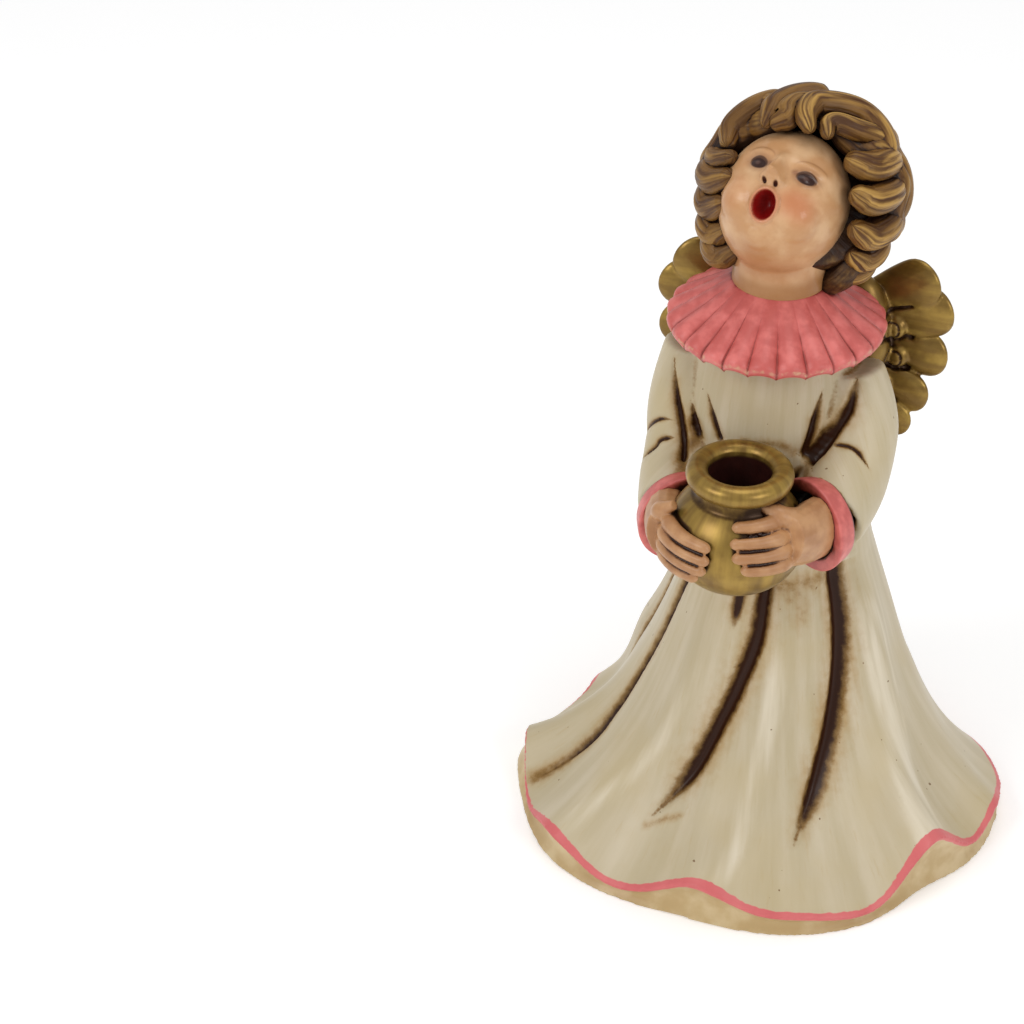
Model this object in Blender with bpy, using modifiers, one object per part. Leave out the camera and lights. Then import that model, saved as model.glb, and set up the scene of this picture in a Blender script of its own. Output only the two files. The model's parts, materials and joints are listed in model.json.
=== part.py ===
"""Angel candle holder: a painted cast figure of a singing angel that holds a round pot for a candle.

The real object is one casting, so it is one solid here. It is modelled as a sculptor would: simple
clay shapes are laid over each other, fused by a voxel remesh, carved with the folds of the robe,
levelled at the base and bored for the candle. The figure faces -Y and stands on z = 0.
"""

import math

import bmesh
import bpy
import numpy as np
from mathutils import Matrix, Vector
from mathutils.bvhtree import BVHTree

# Robe, in metres
HEM_RADIUS = 0.0567
HEM_HEIGHT = 0.0050
HEM_TUCK = 0.0016
HEM_BACK_DRAW_IN = 0.0120
HEM_FRONT_TURN = 12.0
WAIST_HEIGHT = 0.0680
WAIST_RADIUS = 0.0214
BELL_CURL = 4.0
BELL_SLOPE = 0.52
BELT_HEIGHT = 0.0860
BELT_HALF_WIDTH = 0.0192
BELT_HALF_DEPTH = 0.0180
CHEST_HEIGHT = 0.1040
CHEST_HALF_WIDTH = 0.0190
CHEST_HALF_DEPTH = 0.0150
SHOULDER_HEIGHT = 0.1200
SHOULDER_HALF_WIDTH = 0.0165
SHOULDER_HALF_DEPTH = 0.0120
UPPER_BODY_LEAN = 0.0050
UPPER_BODY_SWAY = 0.0020

# Sleeves and cuffs
UPPER_ARM_RADIUS = 0.0088
FOREARM_RADIUS = 0.0088
ELBOW_HEIGHT = 0.0955
ARM_SPREAD = 0.0188
ARM_DROP = 0.0022
ARM_SHIFT = 0.0016
CUFF_RADIUS = 0.0096
CUFF_THICKNESS = 0.0032
CUFF_BAND = 0.0050
CUFF_LAP = 0.0012
CUFF_TURN_IN = 37.0
SHOULDER_DROP = 0.0045
WRIST_AHEAD = 0.0200
FOREARM_RISE = 0.0070

# Pot with the candle socket
POT_REACH = 0.0344
POT_OFFSET = 0.0010
POT_HEIGHT = 0.0900
POT_RADIUS = 0.0143
POT_HALF_HEIGHT = 0.0125
POT_NECK_RADIUS = 0.0088
RIM_HEIGHT = 0.1042
RIM_THICKNESS = 0.0023
RIM_LAP = 0.0004
SOCKET_BORE = 0.0135
SOCKET_DEPTH = 0.0150

# Hands
FINGER_RADIUS = 0.0014
FINGER_PITCH = 0.0025
PALM_HALF_HEIGHT = 0.0075
PALM_HALF_THICKNESS = 0.0036
FINGER_GAP_WIDTH = 0.0005
FINGER_GAP_DEPTH = 0.0008

# Collar, neck and head
COLLAR_RADIUS = 0.0225
COLLAR_HEIGHT = 0.1250
COLLAR_RISE = 0.0085
COLLAR_THICKNESS = 0.0020
COLLAR_PLEATS = 26
PLEAT_DEPTH = 0.0007
NECK_RADIUS = 0.0097
HEAD_HEIGHT = 0.1505
HEAD_HALF_WIDTH = 0.0130
HEAD_HALF_DEPTH = 0.0135
HEAD_HALF_LENGTH = 0.0145
HEAD_LOOK_UP = 40.0
HEAD_TURN = 4.5
HEAD_TILT = 8.0
MOUTH_RADIUS = 0.0024
MOUTH_DEPTH = 0.0034
LIP_THICKNESS = 0.0008
NOSE_THICKNESS = 0.0021

# Hair
HAIR_HALF_WIDTH = 0.0178
HAIR_HALF_DEPTH = 0.0172
HAIR_HALF_HEIGHT = 0.0170
HAIR_SHIFT = 0.0022
HAIR_SET_BACK = 0.0065
HAIR_RISE = 0.0004
HAIR_BEHIND_FACE = 0.62
TRESS_SPACING = 22.0
TRESS_SPAN = (92.0, 268.0)
TRESS_POINTS = 23
TRESS_RADIUS = 0.0036

# Wings
WING_ROOT_OFFSET = 0.0100
WING_ROOT_DEPTH = 0.0080
WING_SPREAD = 0.0330
WING_SWEEP = 0.0090
WING_ROOT_HEIGHT = 0.1135
WING_UNEVENNESS = 0.0012
FEATHER_WIDTH = 0.0114
FEATHER_THICKNESS = 0.0040
COVERT_HALF_THICKNESS = 0.0022
FEATHER_GAP_WIDTH = 0.0007
FEATHER_GAP_DEPTH = 0.0010

# How finely the clay is fused and how many faces the solid keeps
CLAY_VOXEL = 0.0006
CLAY_SMOOTHING = 2
SOLID_TRIANGLES = 11000
TURN_STEPS = 180
BELOW_BASE = 0.0030

clay = []
body_centre = Vector((-UPPER_BODY_SWAY, -UPPER_BODY_LEAN, 0.0))
pot_axis = Vector((-POT_OFFSET, -POT_REACH, 0.0))


def clear_scene():
    for obj in list(bpy.data.objects):
        bpy.data.objects.remove(obj, do_unlink=True)


def add_object(name, mesh):
    obj = bpy.data.objects.new(name, mesh)
    bpy.context.scene.collection.objects.link(obj)
    return obj


def made_mesh(obj):
    """The object with its modifiers or its curve turned into a plain, welded mesh."""
    bpy.context.view_layer.update()
    evaluated = obj.evaluated_get(bpy.context.evaluated_depsgraph_get())
    mesh = bpy.data.meshes.new_from_object(evaluated)
    name, place = obj.name, obj.matrix_world.copy()
    bpy.data.objects.remove(obj, do_unlink=True)
    shape = bmesh.new()
    shape.from_mesh(mesh)
    shape.transform(place)
    bmesh.ops.remove_doubles(shape, verts=shape.verts, dist=1e-6)
    bmesh.ops.recalc_face_normals(shape, faces=shape.faces)
    shape.to_mesh(mesh)
    shape.free()
    return add_object(name, mesh)


def turned(name, profile, centre=(0.0, 0.0, 0.0), closed=False):
    """A solid turned about a vertical axis from (radius, height) points, given from top to bottom."""
    count = len(profile)
    links = [(i, i + 1) for i in range(count - 1)]
    if closed:
        links.append((count - 1, 0))
    mesh = bpy.data.meshes.new(name)
    mesh.from_pydata([(radius, 0.0, height) for radius, height in profile], links, [])
    obj = add_object(name, mesh)
    screw = obj.modifiers.new("turn", "SCREW")
    screw.steps = TURN_STEPS
    screw.render_steps = TURN_STEPS
    screw.use_merge_vertices = True
    screw.merge_threshold = 1e-6
    obj.location = centre
    clay.append(made_mesh(obj))
    return clay[-1]


def limb(name, points, radii, squash=None):
    """A closed tube along a smooth curve, with its own radius at each point.

    squash is (direction, share): the tube is flattened along the direction about its own line.
    """
    curve = bpy.data.curves.new(name, "CURVE")
    curve.dimensions = "3D"
    curve.bevel_depth = 1.0
    curve.bevel_resolution = 5
    curve.use_fill_caps = True
    curve.resolution_u = 8
    spline = curve.splines.new("NURBS")
    spline.points.add(len(points) - 1)
    middle = sum((Vector(point) for point in points), Vector()) / len(points)
    for control, point, radius in zip(spline.points, points, radii):
        control.co = (*point, 1.0)
        control.radius = radius
    spline.order_u = 3
    spline.use_endpoint_u = True
    obj = made_mesh(add_object(name, curve))
    if squash:
        direction, share = squash
        direction = Vector(direction).normalized()
        flatten = Matrix.Scale(share, 4, direction)
        about = Matrix.Translation(middle) @ flatten @ Matrix.Translation(-middle)
        obj.data.transform(about)
    clay.append(obj)
    return obj


def blob(name, centre, radii, turn=None):
    """An ellipsoid of clay."""
    shape = bmesh.new()
    bmesh.ops.create_uvsphere(shape, u_segments=48, v_segments=32, radius=1.0)
    size = Matrix.Diagonal((*radii, 1.0))
    shape.transform(Matrix.Translation(centre) @ (turn or Matrix.Identity(4)) @ size)
    mesh = bpy.data.meshes.new(name)
    shape.to_mesh(mesh)
    shape.free()
    clay.append(add_object(name, mesh))
    return clay[-1]


def bump(distance, width):
    return math.exp(-((distance / width) ** 2))


def ease(value, low, high):
    share = min(1.0, max(0.0, (value - low) / (high - low)))
    return share * share * (3.0 - 2.0 * share)


def angle_between(a, b):
    return (a - b + 180.0) % 360.0 - 180.0


# Hem humps: angle from the front in degrees, height over the low hem line and angular width
HEM_HUMPS = (
    (-72, 0.0075, 10), (-38, 0.0065, 11), (0, 0.0085, 12), (23, 0.0025, 12),
    (59, 0.0128, 11), (86, 0.0050, 10), (112, 0.0035, 12), (140, 0.0055, 13),
    (176, 0.0050, 13), (-142, 0.0055, 13), (-106, 0.0040, 12),
)
# Floor outline: angle, change of the radius and angular width
HEM_SWELLS = (
    (-38, 0.0024, 18), (-2, -0.0016, 14), (30, 0.0004, 14),
    (57, -0.0030, 12), (150, 0.0012, 20), (-150, 0.0012, 20),
)
# Raised folds of the skirt, and one broad hollow at its left: (angle, share of the waist height)
# points down the fold, then height and width
SKIRT_RIDGES = (
    (((-17, 0.92), (-20, 0.71), (-26, 0.43), (-34, 0.20), (-37, 0.08)), 0.0016, 0.0050),
    (((17, 0.92), (17, 0.69), (12, 0.46), (8, 0.25), (3, 0.12)), 0.0016, 0.0045),
    (((67, 0.98), (70, 0.74), (68, 0.47), (61, 0.28), (57, 0.14)), 0.0022, 0.0060),
    (((-80, 1.25), (-80, 0.70), (-80, 0.45), (-80, 0.20), (-78, 0.08)), -0.0042, 0.0200),
    (((104, 0.95), (102, 0.70), (98, 0.45), (91, 0.20), (86, 0.08)), 0.0008, 0.0050),
    (((140, 0.95), (142, 0.70), (142, 0.45), (141, 0.20), (140, 0.08)), 0.0018, 0.0055),
    (((180, 0.95), (179, 0.70), (178, 0.45), (177, 0.20), (176, 0.08)), 0.0016, 0.0050),
    (((-112, 0.95), (-112, 0.70), (-109, 0.45), (-107, 0.20), (-106, 0.08)), 0.0018, 0.0055),
    (((-145, 0.95), (-145, 0.70), (-144, 0.45), (-143, 0.20), (-142, 0.08)), 0.0016, 0.0050),
)
# Carved grooves of the skirt: (angle, share of the waist height), then width and depth
SKIRT_GROOVES = (
    (
        (
            (-47, 0.90), (-51, 0.76), (-57, 0.62), (-58, 0.50),
            (-56, 0.40), (-55, 0.29), (-58, 0.17), (-66, 0.10),
        ),
        0.0015, 0.0019,
    ),
    (((7, 1.00), (5, 0.87), (1, 0.74), (-6, 0.50), (-12, 0.36), (-19, 0.21)), 0.0018, 0.0024),
    (((52, 1.04), (50, 0.93), (47, 0.74), (44, 0.65), (37, 0.50), (30, 0.38), (24, 0.24)), 0.0019, 0.0026),
    (((-6, 0.97), (-6, 0.84)), 0.0010, 0.0010),
    (((122, 0.95), (124, 0.70), (125, 0.48), (126, 0.26)), 0.0015, 0.0018),
    (((160, 0.98), (161, 0.70), (160, 0.45), (158, 0.22)), 0.0017, 0.0022),
    (((-94, 0.95), (-94, 0.70), (-92, 0.45), (-90, 0.22)), 0.0014, 0.0018),
    (((-128, 0.95), (-128, 0.70), (-126, 0.45), (-124, 0.24)), 0.0015, 0.0020),
    (((-163, 0.98), (-163, 0.70), (-162, 0.45), (-161, 0.22)), 0.0017, 0.0022),
)


def hem_line(angle):
    """Height of the trimmed hem line above the table."""
    low = 0.40 * HEM_HEIGHT
    return low + sum(height * bump(angle_between(angle, at), width) for at, height, width in HEM_HUMPS)


def hem_swell(angle):
    """Change of the outline's radius: the skirt spreads in front and is drawn in behind."""
    behind = ease(abs(angle_between(angle, HEM_FRONT_TURN)), 84.0, 118.0)
    swell = sum(change * bump(angle_between(angle, at), width) for at, change, width in HEM_SWELLS)
    return swell - HEM_BACK_DRAW_IN * behind


def bell_radius(height):
    """Mean radius of the skirt between the hem and the waist."""
    drop = min(1.0, max(0.0, (WAIST_HEIGHT - height) / (WAIST_HEIGHT - HEM_HEIGHT)))
    flare = BELL_SLOPE * drop + (1.0 - BELL_SLOPE) * drop**BELL_CURL
    return WAIST_RADIUS + (HEM_RADIUS - WAIST_RADIUS) * flare


# Sections of the robe up to the collar: height, half width, half depth and share of the body's lean
BODY_STATIONS = (
    (WAIST_HEIGHT, WAIST_RADIUS, WAIST_RADIUS, 0.0),
    (BELT_HEIGHT, BELT_HALF_WIDTH, BELT_HALF_DEPTH, 0.5),
    (CHEST_HEIGHT, CHEST_HALF_WIDTH, CHEST_HALF_DEPTH, 1.0),
    (SHOULDER_HEIGHT, SHOULDER_HALF_WIDTH, SHOULDER_HALF_DEPTH, 1.0),
    (COLLAR_HEIGHT + 0.4 * COLLAR_RISE, NECK_RADIUS, NECK_RADIUS, 1.0),
)


def body_section(height):
    """Half width, half depth and share of the lean of the robe at a height."""
    heights = [station[0] for station in BODY_STATIONS]
    return [np.interp(height, heights, [station[k] for station in BODY_STATIONS]) for k in (1, 2, 3)]


def path_angle(path, height):
    heights = [share * WAIST_HEIGHT for _, share in path][::-1]
    angles = [angle for angle, _ in path][::-1]
    return np.interp(height, heights, angles)


def fold_push(angle, height, radius):
    """How far the raised folds push the skirt out."""
    push = 0.0
    for path, rise, width in SKIRT_RIDGES:
        away = math.radians(angle_between(angle, path_angle(path, height))) * radius
        top = path[0][1] * WAIST_HEIGHT
        fade = 1.0 - ease(height, 0.75 * top, 1.15 * top)
        push += rise * fade * bump(away, width)
    return push


def on_robe(angle, height):
    """A point of the robe's surface below the chest, at an angle from the front."""
    radius = bell_radius(height) + fold_push(angle, height, bell_radius(height))
    turn = math.radians(angle)
    return Vector((radius * math.sin(turn), -radius * math.cos(turn), height))


def robe():
    """Skirt and bodice: a turned bell whose hem, folds and chest are then pushed into shape."""
    top = COLLAR_HEIGHT + 0.4 * COLLAR_RISE
    upper = [(body_section(h)[0], h) for h in np.linspace(top, WAIST_HEIGHT, 40)]
    skirt = [(bell_radius(h), h) for h in np.linspace(WAIST_HEIGHT, HEM_HEIGHT, 60)[1:]]
    wall = [(HEM_RADIUS, h) for h in np.linspace(HEM_HEIGHT, 0.0, 8)[1:]]
    profile = [(0.0, top)] + upper + skirt + wall + [(HEM_RADIUS, -BELOW_BASE), (0.0, -BELOW_BASE)]
    obj = turned("robe", profile)
    for vertex in obj.data.vertices:
        x, y, z = vertex.co
        radius = math.hypot(x, y)
        if radius < 1e-6:
            vertex.co = (x, y, z) if z < WAIST_HEIGHT else (x + body_centre.x, y + body_centre.y, z)
            continue
        angle = math.degrees(math.atan2(x, -y))
        if z < WAIST_HEIGHT:
            lift = hem_line(angle) - HEM_HEIGHT
            reach = ease(z, 0.0, 0.9 * WAIST_HEIGHT)
            height = z + lift * (1.0 - reach) ** 3 if z > HEM_HEIGHT else z * hem_line(angle) / HEM_HEIGHT
            if z <= 0.0:
                height = z
            spread = hem_swell(angle) * (1.0 - ease(z, 0.0, 0.5 * WAIST_HEIGHT))
            tuck = HEM_TUCK * math.sin(math.pi * min(1.0, max(0.0, z / HEM_HEIGHT)))
            new_radius = radius + spread - tuck + fold_push(angle, z, radius) * ease(z, 0.0, 2 * HEM_HEIGHT)
            vertex.co = (x / radius * new_radius, y / radius * new_radius, height)
        else:
            half_width, half_depth, lean = body_section(z)
            push = fold_push(angle, z, radius)
            new_x = x / radius * (radius + push)
            new_y = y / radius * (radius * half_depth / half_width + push)
            vertex.co = (new_x + lean * body_centre.x, new_y + lean * body_centre.y, z)


def arm_points(side):
    """Shoulder, upper arm, elbow, forearm and wrist of one sleeve; side is +1 at +X."""
    drop = side * ARM_DROP
    shoulder = SHOULDER_HEIGHT - SHOULDER_DROP
    elbow = ELBOW_HEIGHT + drop
    shapes = (
        (0.88 * ARM_SPREAD, 0.0, shoulder, 0.0),
        (0.97 * ARM_SPREAD, -0.08 * WRIST_AHEAD, 0.5 * (shoulder + elbow), 0.5),
        (0.94 * ARM_SPREAD, -0.28 * WRIST_AHEAD, elbow, 1.0),
        (0.90 * ARM_SPREAD, -0.65 * WRIST_AHEAD, elbow - 0.74 * FOREARM_RISE, 1.0),
        (0.83 * ARM_SPREAD, -WRIST_AHEAD, elbow - FOREARM_RISE, 1.0),
    )
    return [
        Vector((side * across + share * ARM_SHIFT, ahead, height)) + body_centre
        for across, ahead, height, share in shapes
    ]


def sleeve(side):
    wrist_radius = CUFF_RADIUS - CUFF_LAP
    radii = (0.75 * UPPER_ARM_RADIUS, UPPER_ARM_RADIUS, FOREARM_RADIUS, 1.03 * FOREARM_RADIUS, wrist_radius)
    limb(f"sleeve_{side}", arm_points(side), radii)


def cuff(side):
    """The turned-back band round the open end of the sleeve."""
    half = 0.5 * CUFF_THICKNESS
    middle = CUFF_RADIUS - half
    arc = [math.radians(a) for a in range(0, 360, 30)]
    profile = [(middle + half * math.cos(a), 0.5 * CUFF_BAND * math.sin(a)) for a in arc[::-1]]
    band = turned(f"cuff_{side}", profile, closed=True)
    turn_in = math.radians(CUFF_TURN_IN)
    along = Vector((-side * math.sin(turn_in), -math.cos(turn_in), 0.0))
    place = arm_points(side)[-1] + 0.5 * CUFF_BAND * along
    band.data.transform(Matrix.Translation(place) @ along.to_track_quat("Z", "Y").to_matrix().to_4x4())


def on_pot(angle, height, lift):
    """A point lifted off the pot's globe at an angle from the front."""
    rise = min(0.98, max(-0.98, (height - POT_HEIGHT) / POT_HALF_HEIGHT))
    radius = POT_RADIUS * math.sqrt(1.0 - rise * rise) + lift
    turn = math.radians(angle)
    return pot_axis + Vector((radius * math.sin(turn), -radius * math.cos(turn), height))


def pot():
    """Globe, neck and rolled rim, turned as one solid."""
    top = RIM_HEIGHT
    tube = RIM_THICKNESS
    rim_radius = 0.5 * SOCKET_BORE + tube - RIM_LAP
    arc = [math.radians(a) for a in range(90, -91, -15)]
    rim = [(rim_radius + tube * math.cos(a), top + tube * math.sin(a)) for a in arc]
    globe = []
    for a in range(50, -91, -5):
        turn = math.radians(a)
        globe.append((POT_RADIUS * math.cos(turn), POT_HEIGHT + POT_HALF_HEIGHT * math.sin(turn)))
    neck = [(POT_NECK_RADIUS, top - tube)]
    globe[-1] = (0.0, globe[-1][1])
    turned("pot", [(0.0, top + tube)] + rim + neck + globe, pot_axis)


# Each hand: angles round the pot of its finger tips, knuckles and thumb, and heights over the pot's middle
HANDS = {
    1: {"tip": 7, "knuckle": 50, "top": 0.0088, "thumb_tip": 38, "thumb_height": 0.0122},
    -1: {"tip": -17, "knuckle": -62, "top": 0.0046, "thumb_tip": -52, "thumb_height": 0.0095},
}


def finger_angles(side, finger):
    """Angles round the pot from a finger's knuckle to its tip; the little fingers are shorter."""
    grip = HANDS[side]
    short = (1.0, 0.0, 2.0, 9.0)[finger] * side
    return np.linspace(grip["knuckle"], grip["tip"] + short, 6)


def hand(side):
    """Palm, thumb and four fingers laid round the pot."""
    grip = HANDS[side]
    wrist = arm_points(side)[-1]
    lift = 0.85 * FINGER_RADIUS
    for finger in range(4):
        height = POT_HEIGHT + grip["top"] - finger * FINGER_PITCH
        points = [on_pot(angle, height, lift) for angle in finger_angles(side, finger)]
        points.insert(0, points[0] + 0.35 * (wrist - points[0]))
        radii = [FINGER_RADIUS * share for share in (1.2, 1.15, 1.1, 1.05, 1.0, 0.95, 0.6)]
        limb(f"finger_{side}_{finger}", points, radii)
    thumb_end = on_pot(grip["thumb_tip"], POT_HEIGHT + grip["thumb_height"], 1.8 * FINGER_RADIUS)
    knuckle = on_pot(grip["knuckle"] + 12 * side, POT_HEIGHT + grip["top"], 2.0 * FINGER_RADIUS)
    limb(
        f"thumb_{side}",
        [knuckle + 0.5 * (wrist - knuckle), knuckle, 0.5 * (knuckle + thumb_end), thumb_end],
        [FINGER_RADIUS * share for share in (2.0, 1.8, 1.3, 0.8)],
    )
    centre_height = POT_HEIGHT + grip["top"] - 1.5 * FINGER_PITCH
    back = on_pot(grip["knuckle"] + 6 * side, centre_height, 1.2 * FINGER_RADIUS)
    middle = 0.5 * (back + wrist)
    outward = Vector((side * math.cos(math.radians(25)), -math.sin(math.radians(25)), 0.0))
    limb(
        f"palm_{side}",
        [back, middle + 0.0012 * outward, wrist, wrist + 0.6 * (wrist - middle)],
        [0.75 * PALM_HALF_HEIGHT, PALM_HALF_HEIGHT, 0.85 * PALM_HALF_HEIGHT, 0.8 * PALM_HALF_HEIGHT],
        (outward, PALM_HALF_THICKNESS / PALM_HALF_HEIGHT),
    )


def finger_gaps(side):
    """The lines between the fingers, as (points, width, depth)."""
    grip = HANDS[side]
    found = []
    for gap in range(3):
        height = POT_HEIGHT + grip["top"] - (gap + 0.5) * FINGER_PITCH
        angles = finger_angles(side, gap + 1)
        line = [on_pot(angle, height, FINGER_RADIUS) for angle in angles]
        found.append((line, FINGER_GAP_WIDTH, FINGER_GAP_DEPTH))
    return found


def collar():
    """Pleated ruff that slopes from the neck to its outer edge."""
    centre = body_centre.copy()
    edge = COLLAR_HEIGHT
    inner = NECK_RADIUS - 0.002
    slope = COLLAR_RISE / (COLLAR_RADIUS - NECK_RADIUS)
    top = [(r, edge + slope * (COLLAR_RADIUS - r)) for r in np.linspace(inner, COLLAR_RADIUS, 24)]
    under = [(r, h - COLLAR_THICKNESS - 0.35 * (COLLAR_RADIUS - r)) for r, h in top[::-1]]
    obj = turned("collar", top + under, centre, closed=True)
    for vertex in obj.data.vertices:
        away = vertex.co - centre
        radius = math.hypot(away.x, away.y)
        share = ease(radius, NECK_RADIUS, COLLAR_RADIUS)
        wave = math.cos(COLLAR_PLEATS * math.atan2(away.x, -away.y))
        vertex.co.z += PLEAT_DEPTH * share * wave
        vertex.co.x += away.x / radius * 0.4 * PLEAT_DEPTH * share * wave
        vertex.co.y += away.y / radius * 0.4 * PLEAT_DEPTH * share * wave


head_centre = Vector((-UPPER_BODY_SWAY, -UPPER_BODY_LEAN, HEAD_HEIGHT))
head_size = (HEAD_HALF_WIDTH, HEAD_HALF_DEPTH, HEAD_HALF_LENGTH)
head_turn = (
    Matrix.Rotation(math.radians(-HEAD_TURN), 4, "Z")
    @ Matrix.Rotation(math.radians(-HEAD_LOOK_UP), 4, "X")
    @ Matrix.Rotation(math.radians(HEAD_TILT), 4, "Y")
)
hair_centre = head_centre + Vector((HAIR_SHIFT, HAIR_SET_BACK, HAIR_RISE))
hair_size = (HAIR_HALF_WIDTH, HAIR_HALF_DEPTH, HAIR_HALF_HEIGHT)


def on_head(across, up, lift=0.0):
    """A point of the face: across and up are shares of the head's half sizes, lift is in metres."""
    ahead = math.sqrt(max(0.0, 1.0 - across * across - up * up))
    local = Vector((across * HEAD_HALF_WIDTH, -ahead * HEAD_HALF_DEPTH, up * HEAD_HALF_LENGTH))
    outward = Vector((across / HEAD_HALF_WIDTH, -ahead / HEAD_HALF_DEPTH, up / HEAD_HALF_LENGTH))
    outward.normalize()
    return head_centre + head_turn.to_3x3() @ (local + lift * outward)


def on_hair(azimuth, elevation, share=1.0):
    """A point on the mass of hair, or a share of its size out: azimuth from the front, then elevation."""
    turn, rise = math.radians(azimuth), math.radians(elevation)
    outward = (math.sin(turn) * math.cos(rise), -math.cos(turn) * math.cos(rise), math.sin(rise))
    return hair_centre + share * Vector([a * b for a, b in zip(outward, hair_size)])


MOUTH = (0.00, -0.27)
NOSE = (-0.02, 0.09)
EYES = ((-0.36, 0.255), (0.44, 0.255))
CHEEKS = ((-0.55, -0.30), (0.55, -0.32))


def head():
    """Neck, skull, cheeks, chin, nose, brows, eyes and open lips."""
    foot = body_centre + Vector((0.0, 0.0, COLLAR_HEIGHT))
    limb("neck", [foot, 0.5 * (foot + head_centre), head_centre], [NECK_RADIUS] * 3)
    blob("skull", head_centre, head_size, head_turn)
    for across, up in CHEEKS:
        blob("cheek", on_head(across, up, -0.0048), (0.0060, 0.0058, 0.0062), head_turn)
    blob("chin", on_head(0.0, -0.72, -0.0046), (0.0056, 0.0052, 0.0050), head_turn)
    blob("brow", on_head(0.0, 0.50, -0.0050), (0.0085, 0.0055, 0.0045), head_turn)
    across, up = NOSE
    limb(
        "nose",
        [
            on_head(across, up + 0.32, -0.0004),
            on_head(across, up + 0.14, 0.0008),
            on_head(across, up, 0.0022),
        ],
        [0.62 * NOSE_THICKNESS, 0.76 * NOSE_THICKNESS, NOSE_THICKNESS],
    )
    for across, up in EYES:
        blob("eye", on_head(across, up, -0.0010), (0.0026, 0.0018, 0.0018), head_turn)
    ring = []
    for step in range(13):
        turn = math.radians(30.0 * step)
        across = MOUTH[0] + 1.0 * MOUTH_RADIUS / HEAD_HALF_WIDTH * math.cos(turn)
        up = MOUTH[1] + 1.2 * MOUTH_RADIUS / HEAD_HALF_LENGTH * math.sin(turn)
        ring.append(on_head(across, up, 0.0006))
    limb("lips", ring, [LIP_THICKNESS] * len(ring))


# Locks round the face and over the crown: (azimuth, elevation, share of the hair's size) points, then
# the radius at each point in millimetres
FRONT_LOCKS = (
    (
        (
            (92, 30, 1.06), (100, 42, 1.12), (112, 56, 1.13), (112, 70, 1.13),
            (82, 82, 1.13), (10, 77, 1.13), (2, 68, 1.12), (12, 60, 1.10),
        ),
        (2.6, 2.9, 2.9, 2.7, 2.6, 2.4, 2.1, 1.3),
    ),
    (
        ((100, 38, 1.09), (92, 47, 1.09), (76, 58, 1.10), (60, 64, 1.10), (42, 63, 1.08), (38, 57, 1.08)),
        (2.2, 2.2, 2.0, 1.8, 1.6, 1.1),
    ),
    (
        (
            (160, 72, 1.10), (-177, 72, 1.10), (-138, 73, 1.08),
            (-90, 70, 1.08), (-66, 62, 1.08), (-56, 57, 1.06),
        ),
        (2.4, 2.8, 2.9, 2.8, 2.4, 1.2),
    ),
    (
        ((150, 84, 1.08), (-100, 83, 1.08), (-50, 75, 1.07), (-36, 67, 1.06), (-42, 62, 1.05)),
        (2.0, 2.5, 2.6, 2.2, 1.0),
    ),
    (
        ((-140, 58, 1.08), (-112, 55, 1.08), (-98, 45, 1.08), (-88, 36, 1.08), (-76, 33, 1.06)),
        (2.2, 2.8, 2.9, 2.7, 1.5),
    ),
    (((-98, 18, 1.05), (-84, 17, 1.08), (-72, 19, 1.05), (-58, 29, 1.04)), (1.8, 2.3, 2.2, 1.4)),
    (((-96, 6, 1.05), (-78, 7, 1.10), (-63, 8, 1.06), (-50, 17, 1.04)), (2.4, 3.0, 2.9, 2.0)),
    (((-90, -8, 1.06), (-72, -8, 1.10), (-62, -10, 1.08), (-48, 0, 1.04)), (2.4, 3.0, 2.9, 2.0)),
    (((-82, -22, 1.10), (-64, -22, 1.17), (-56, -25, 1.13), (-48, -20, 1.06)), (2.4, 3.0, 2.9, 2.0)),
    (((-76, -32, 1.12), (-58, -33, 1.23), (-50, -36, 1.23), (-44, -34, 1.12)), (2.6, 3.1, 3.0, 2.0)),
    (((104, 24, 1.03), (88, 29, 1.08), (66, 33, 1.06), (50, 41, 1.03)), (2.4, 3.0, 3.0, 2.1)),
    (((96, 9, 1.03), (78, 11, 1.08), (59, 13, 1.06), (45, 20, 1.03)), (2.4, 3.0, 3.0, 2.1)),
    (((94, -10, 1.03), (80, -12, 1.08), (60, -13, 1.06), (44, -4, 1.03)), (2.4, 3.1, 3.0, 2.1)),
    (((90, -28, 1.05), (76, -30, 1.12), (64, -34, 1.11), (51, -29, 1.05)), (2.2, 2.8, 2.6, 1.9)),
    (((82, -38, 1.08), (68, -41, 1.17), (58, -45, 1.15), (50, -42, 1.08)), (2.2, 2.6, 2.4, 1.6)),
    (
        ((98, 36, 1.04), (102, 22, 1.08), (98, 8, 1.10), (92, -4, 1.10), (88, -18, 1.05)),
        (2.2, 2.7, 2.8, 2.6, 1.6),
    ),
)


def lock(name, line, radii):
    """A lock with rounded ends."""
    first = line[0] + 0.6 * radii[0] * (line[0] - line[1]).normalized()
    way = (line[-1] - line[-2]).normalized()
    tip = line[-1] + 0.5 * radii[-1] * way
    end = line[-1] + 0.9 * radii[-1] * way
    radii = [0.1 * radii[0]] + radii + [0.7 * radii[-1], 0.05 * radii[-1]]
    limb(name, [first] + line + [tip, end], radii)


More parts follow.
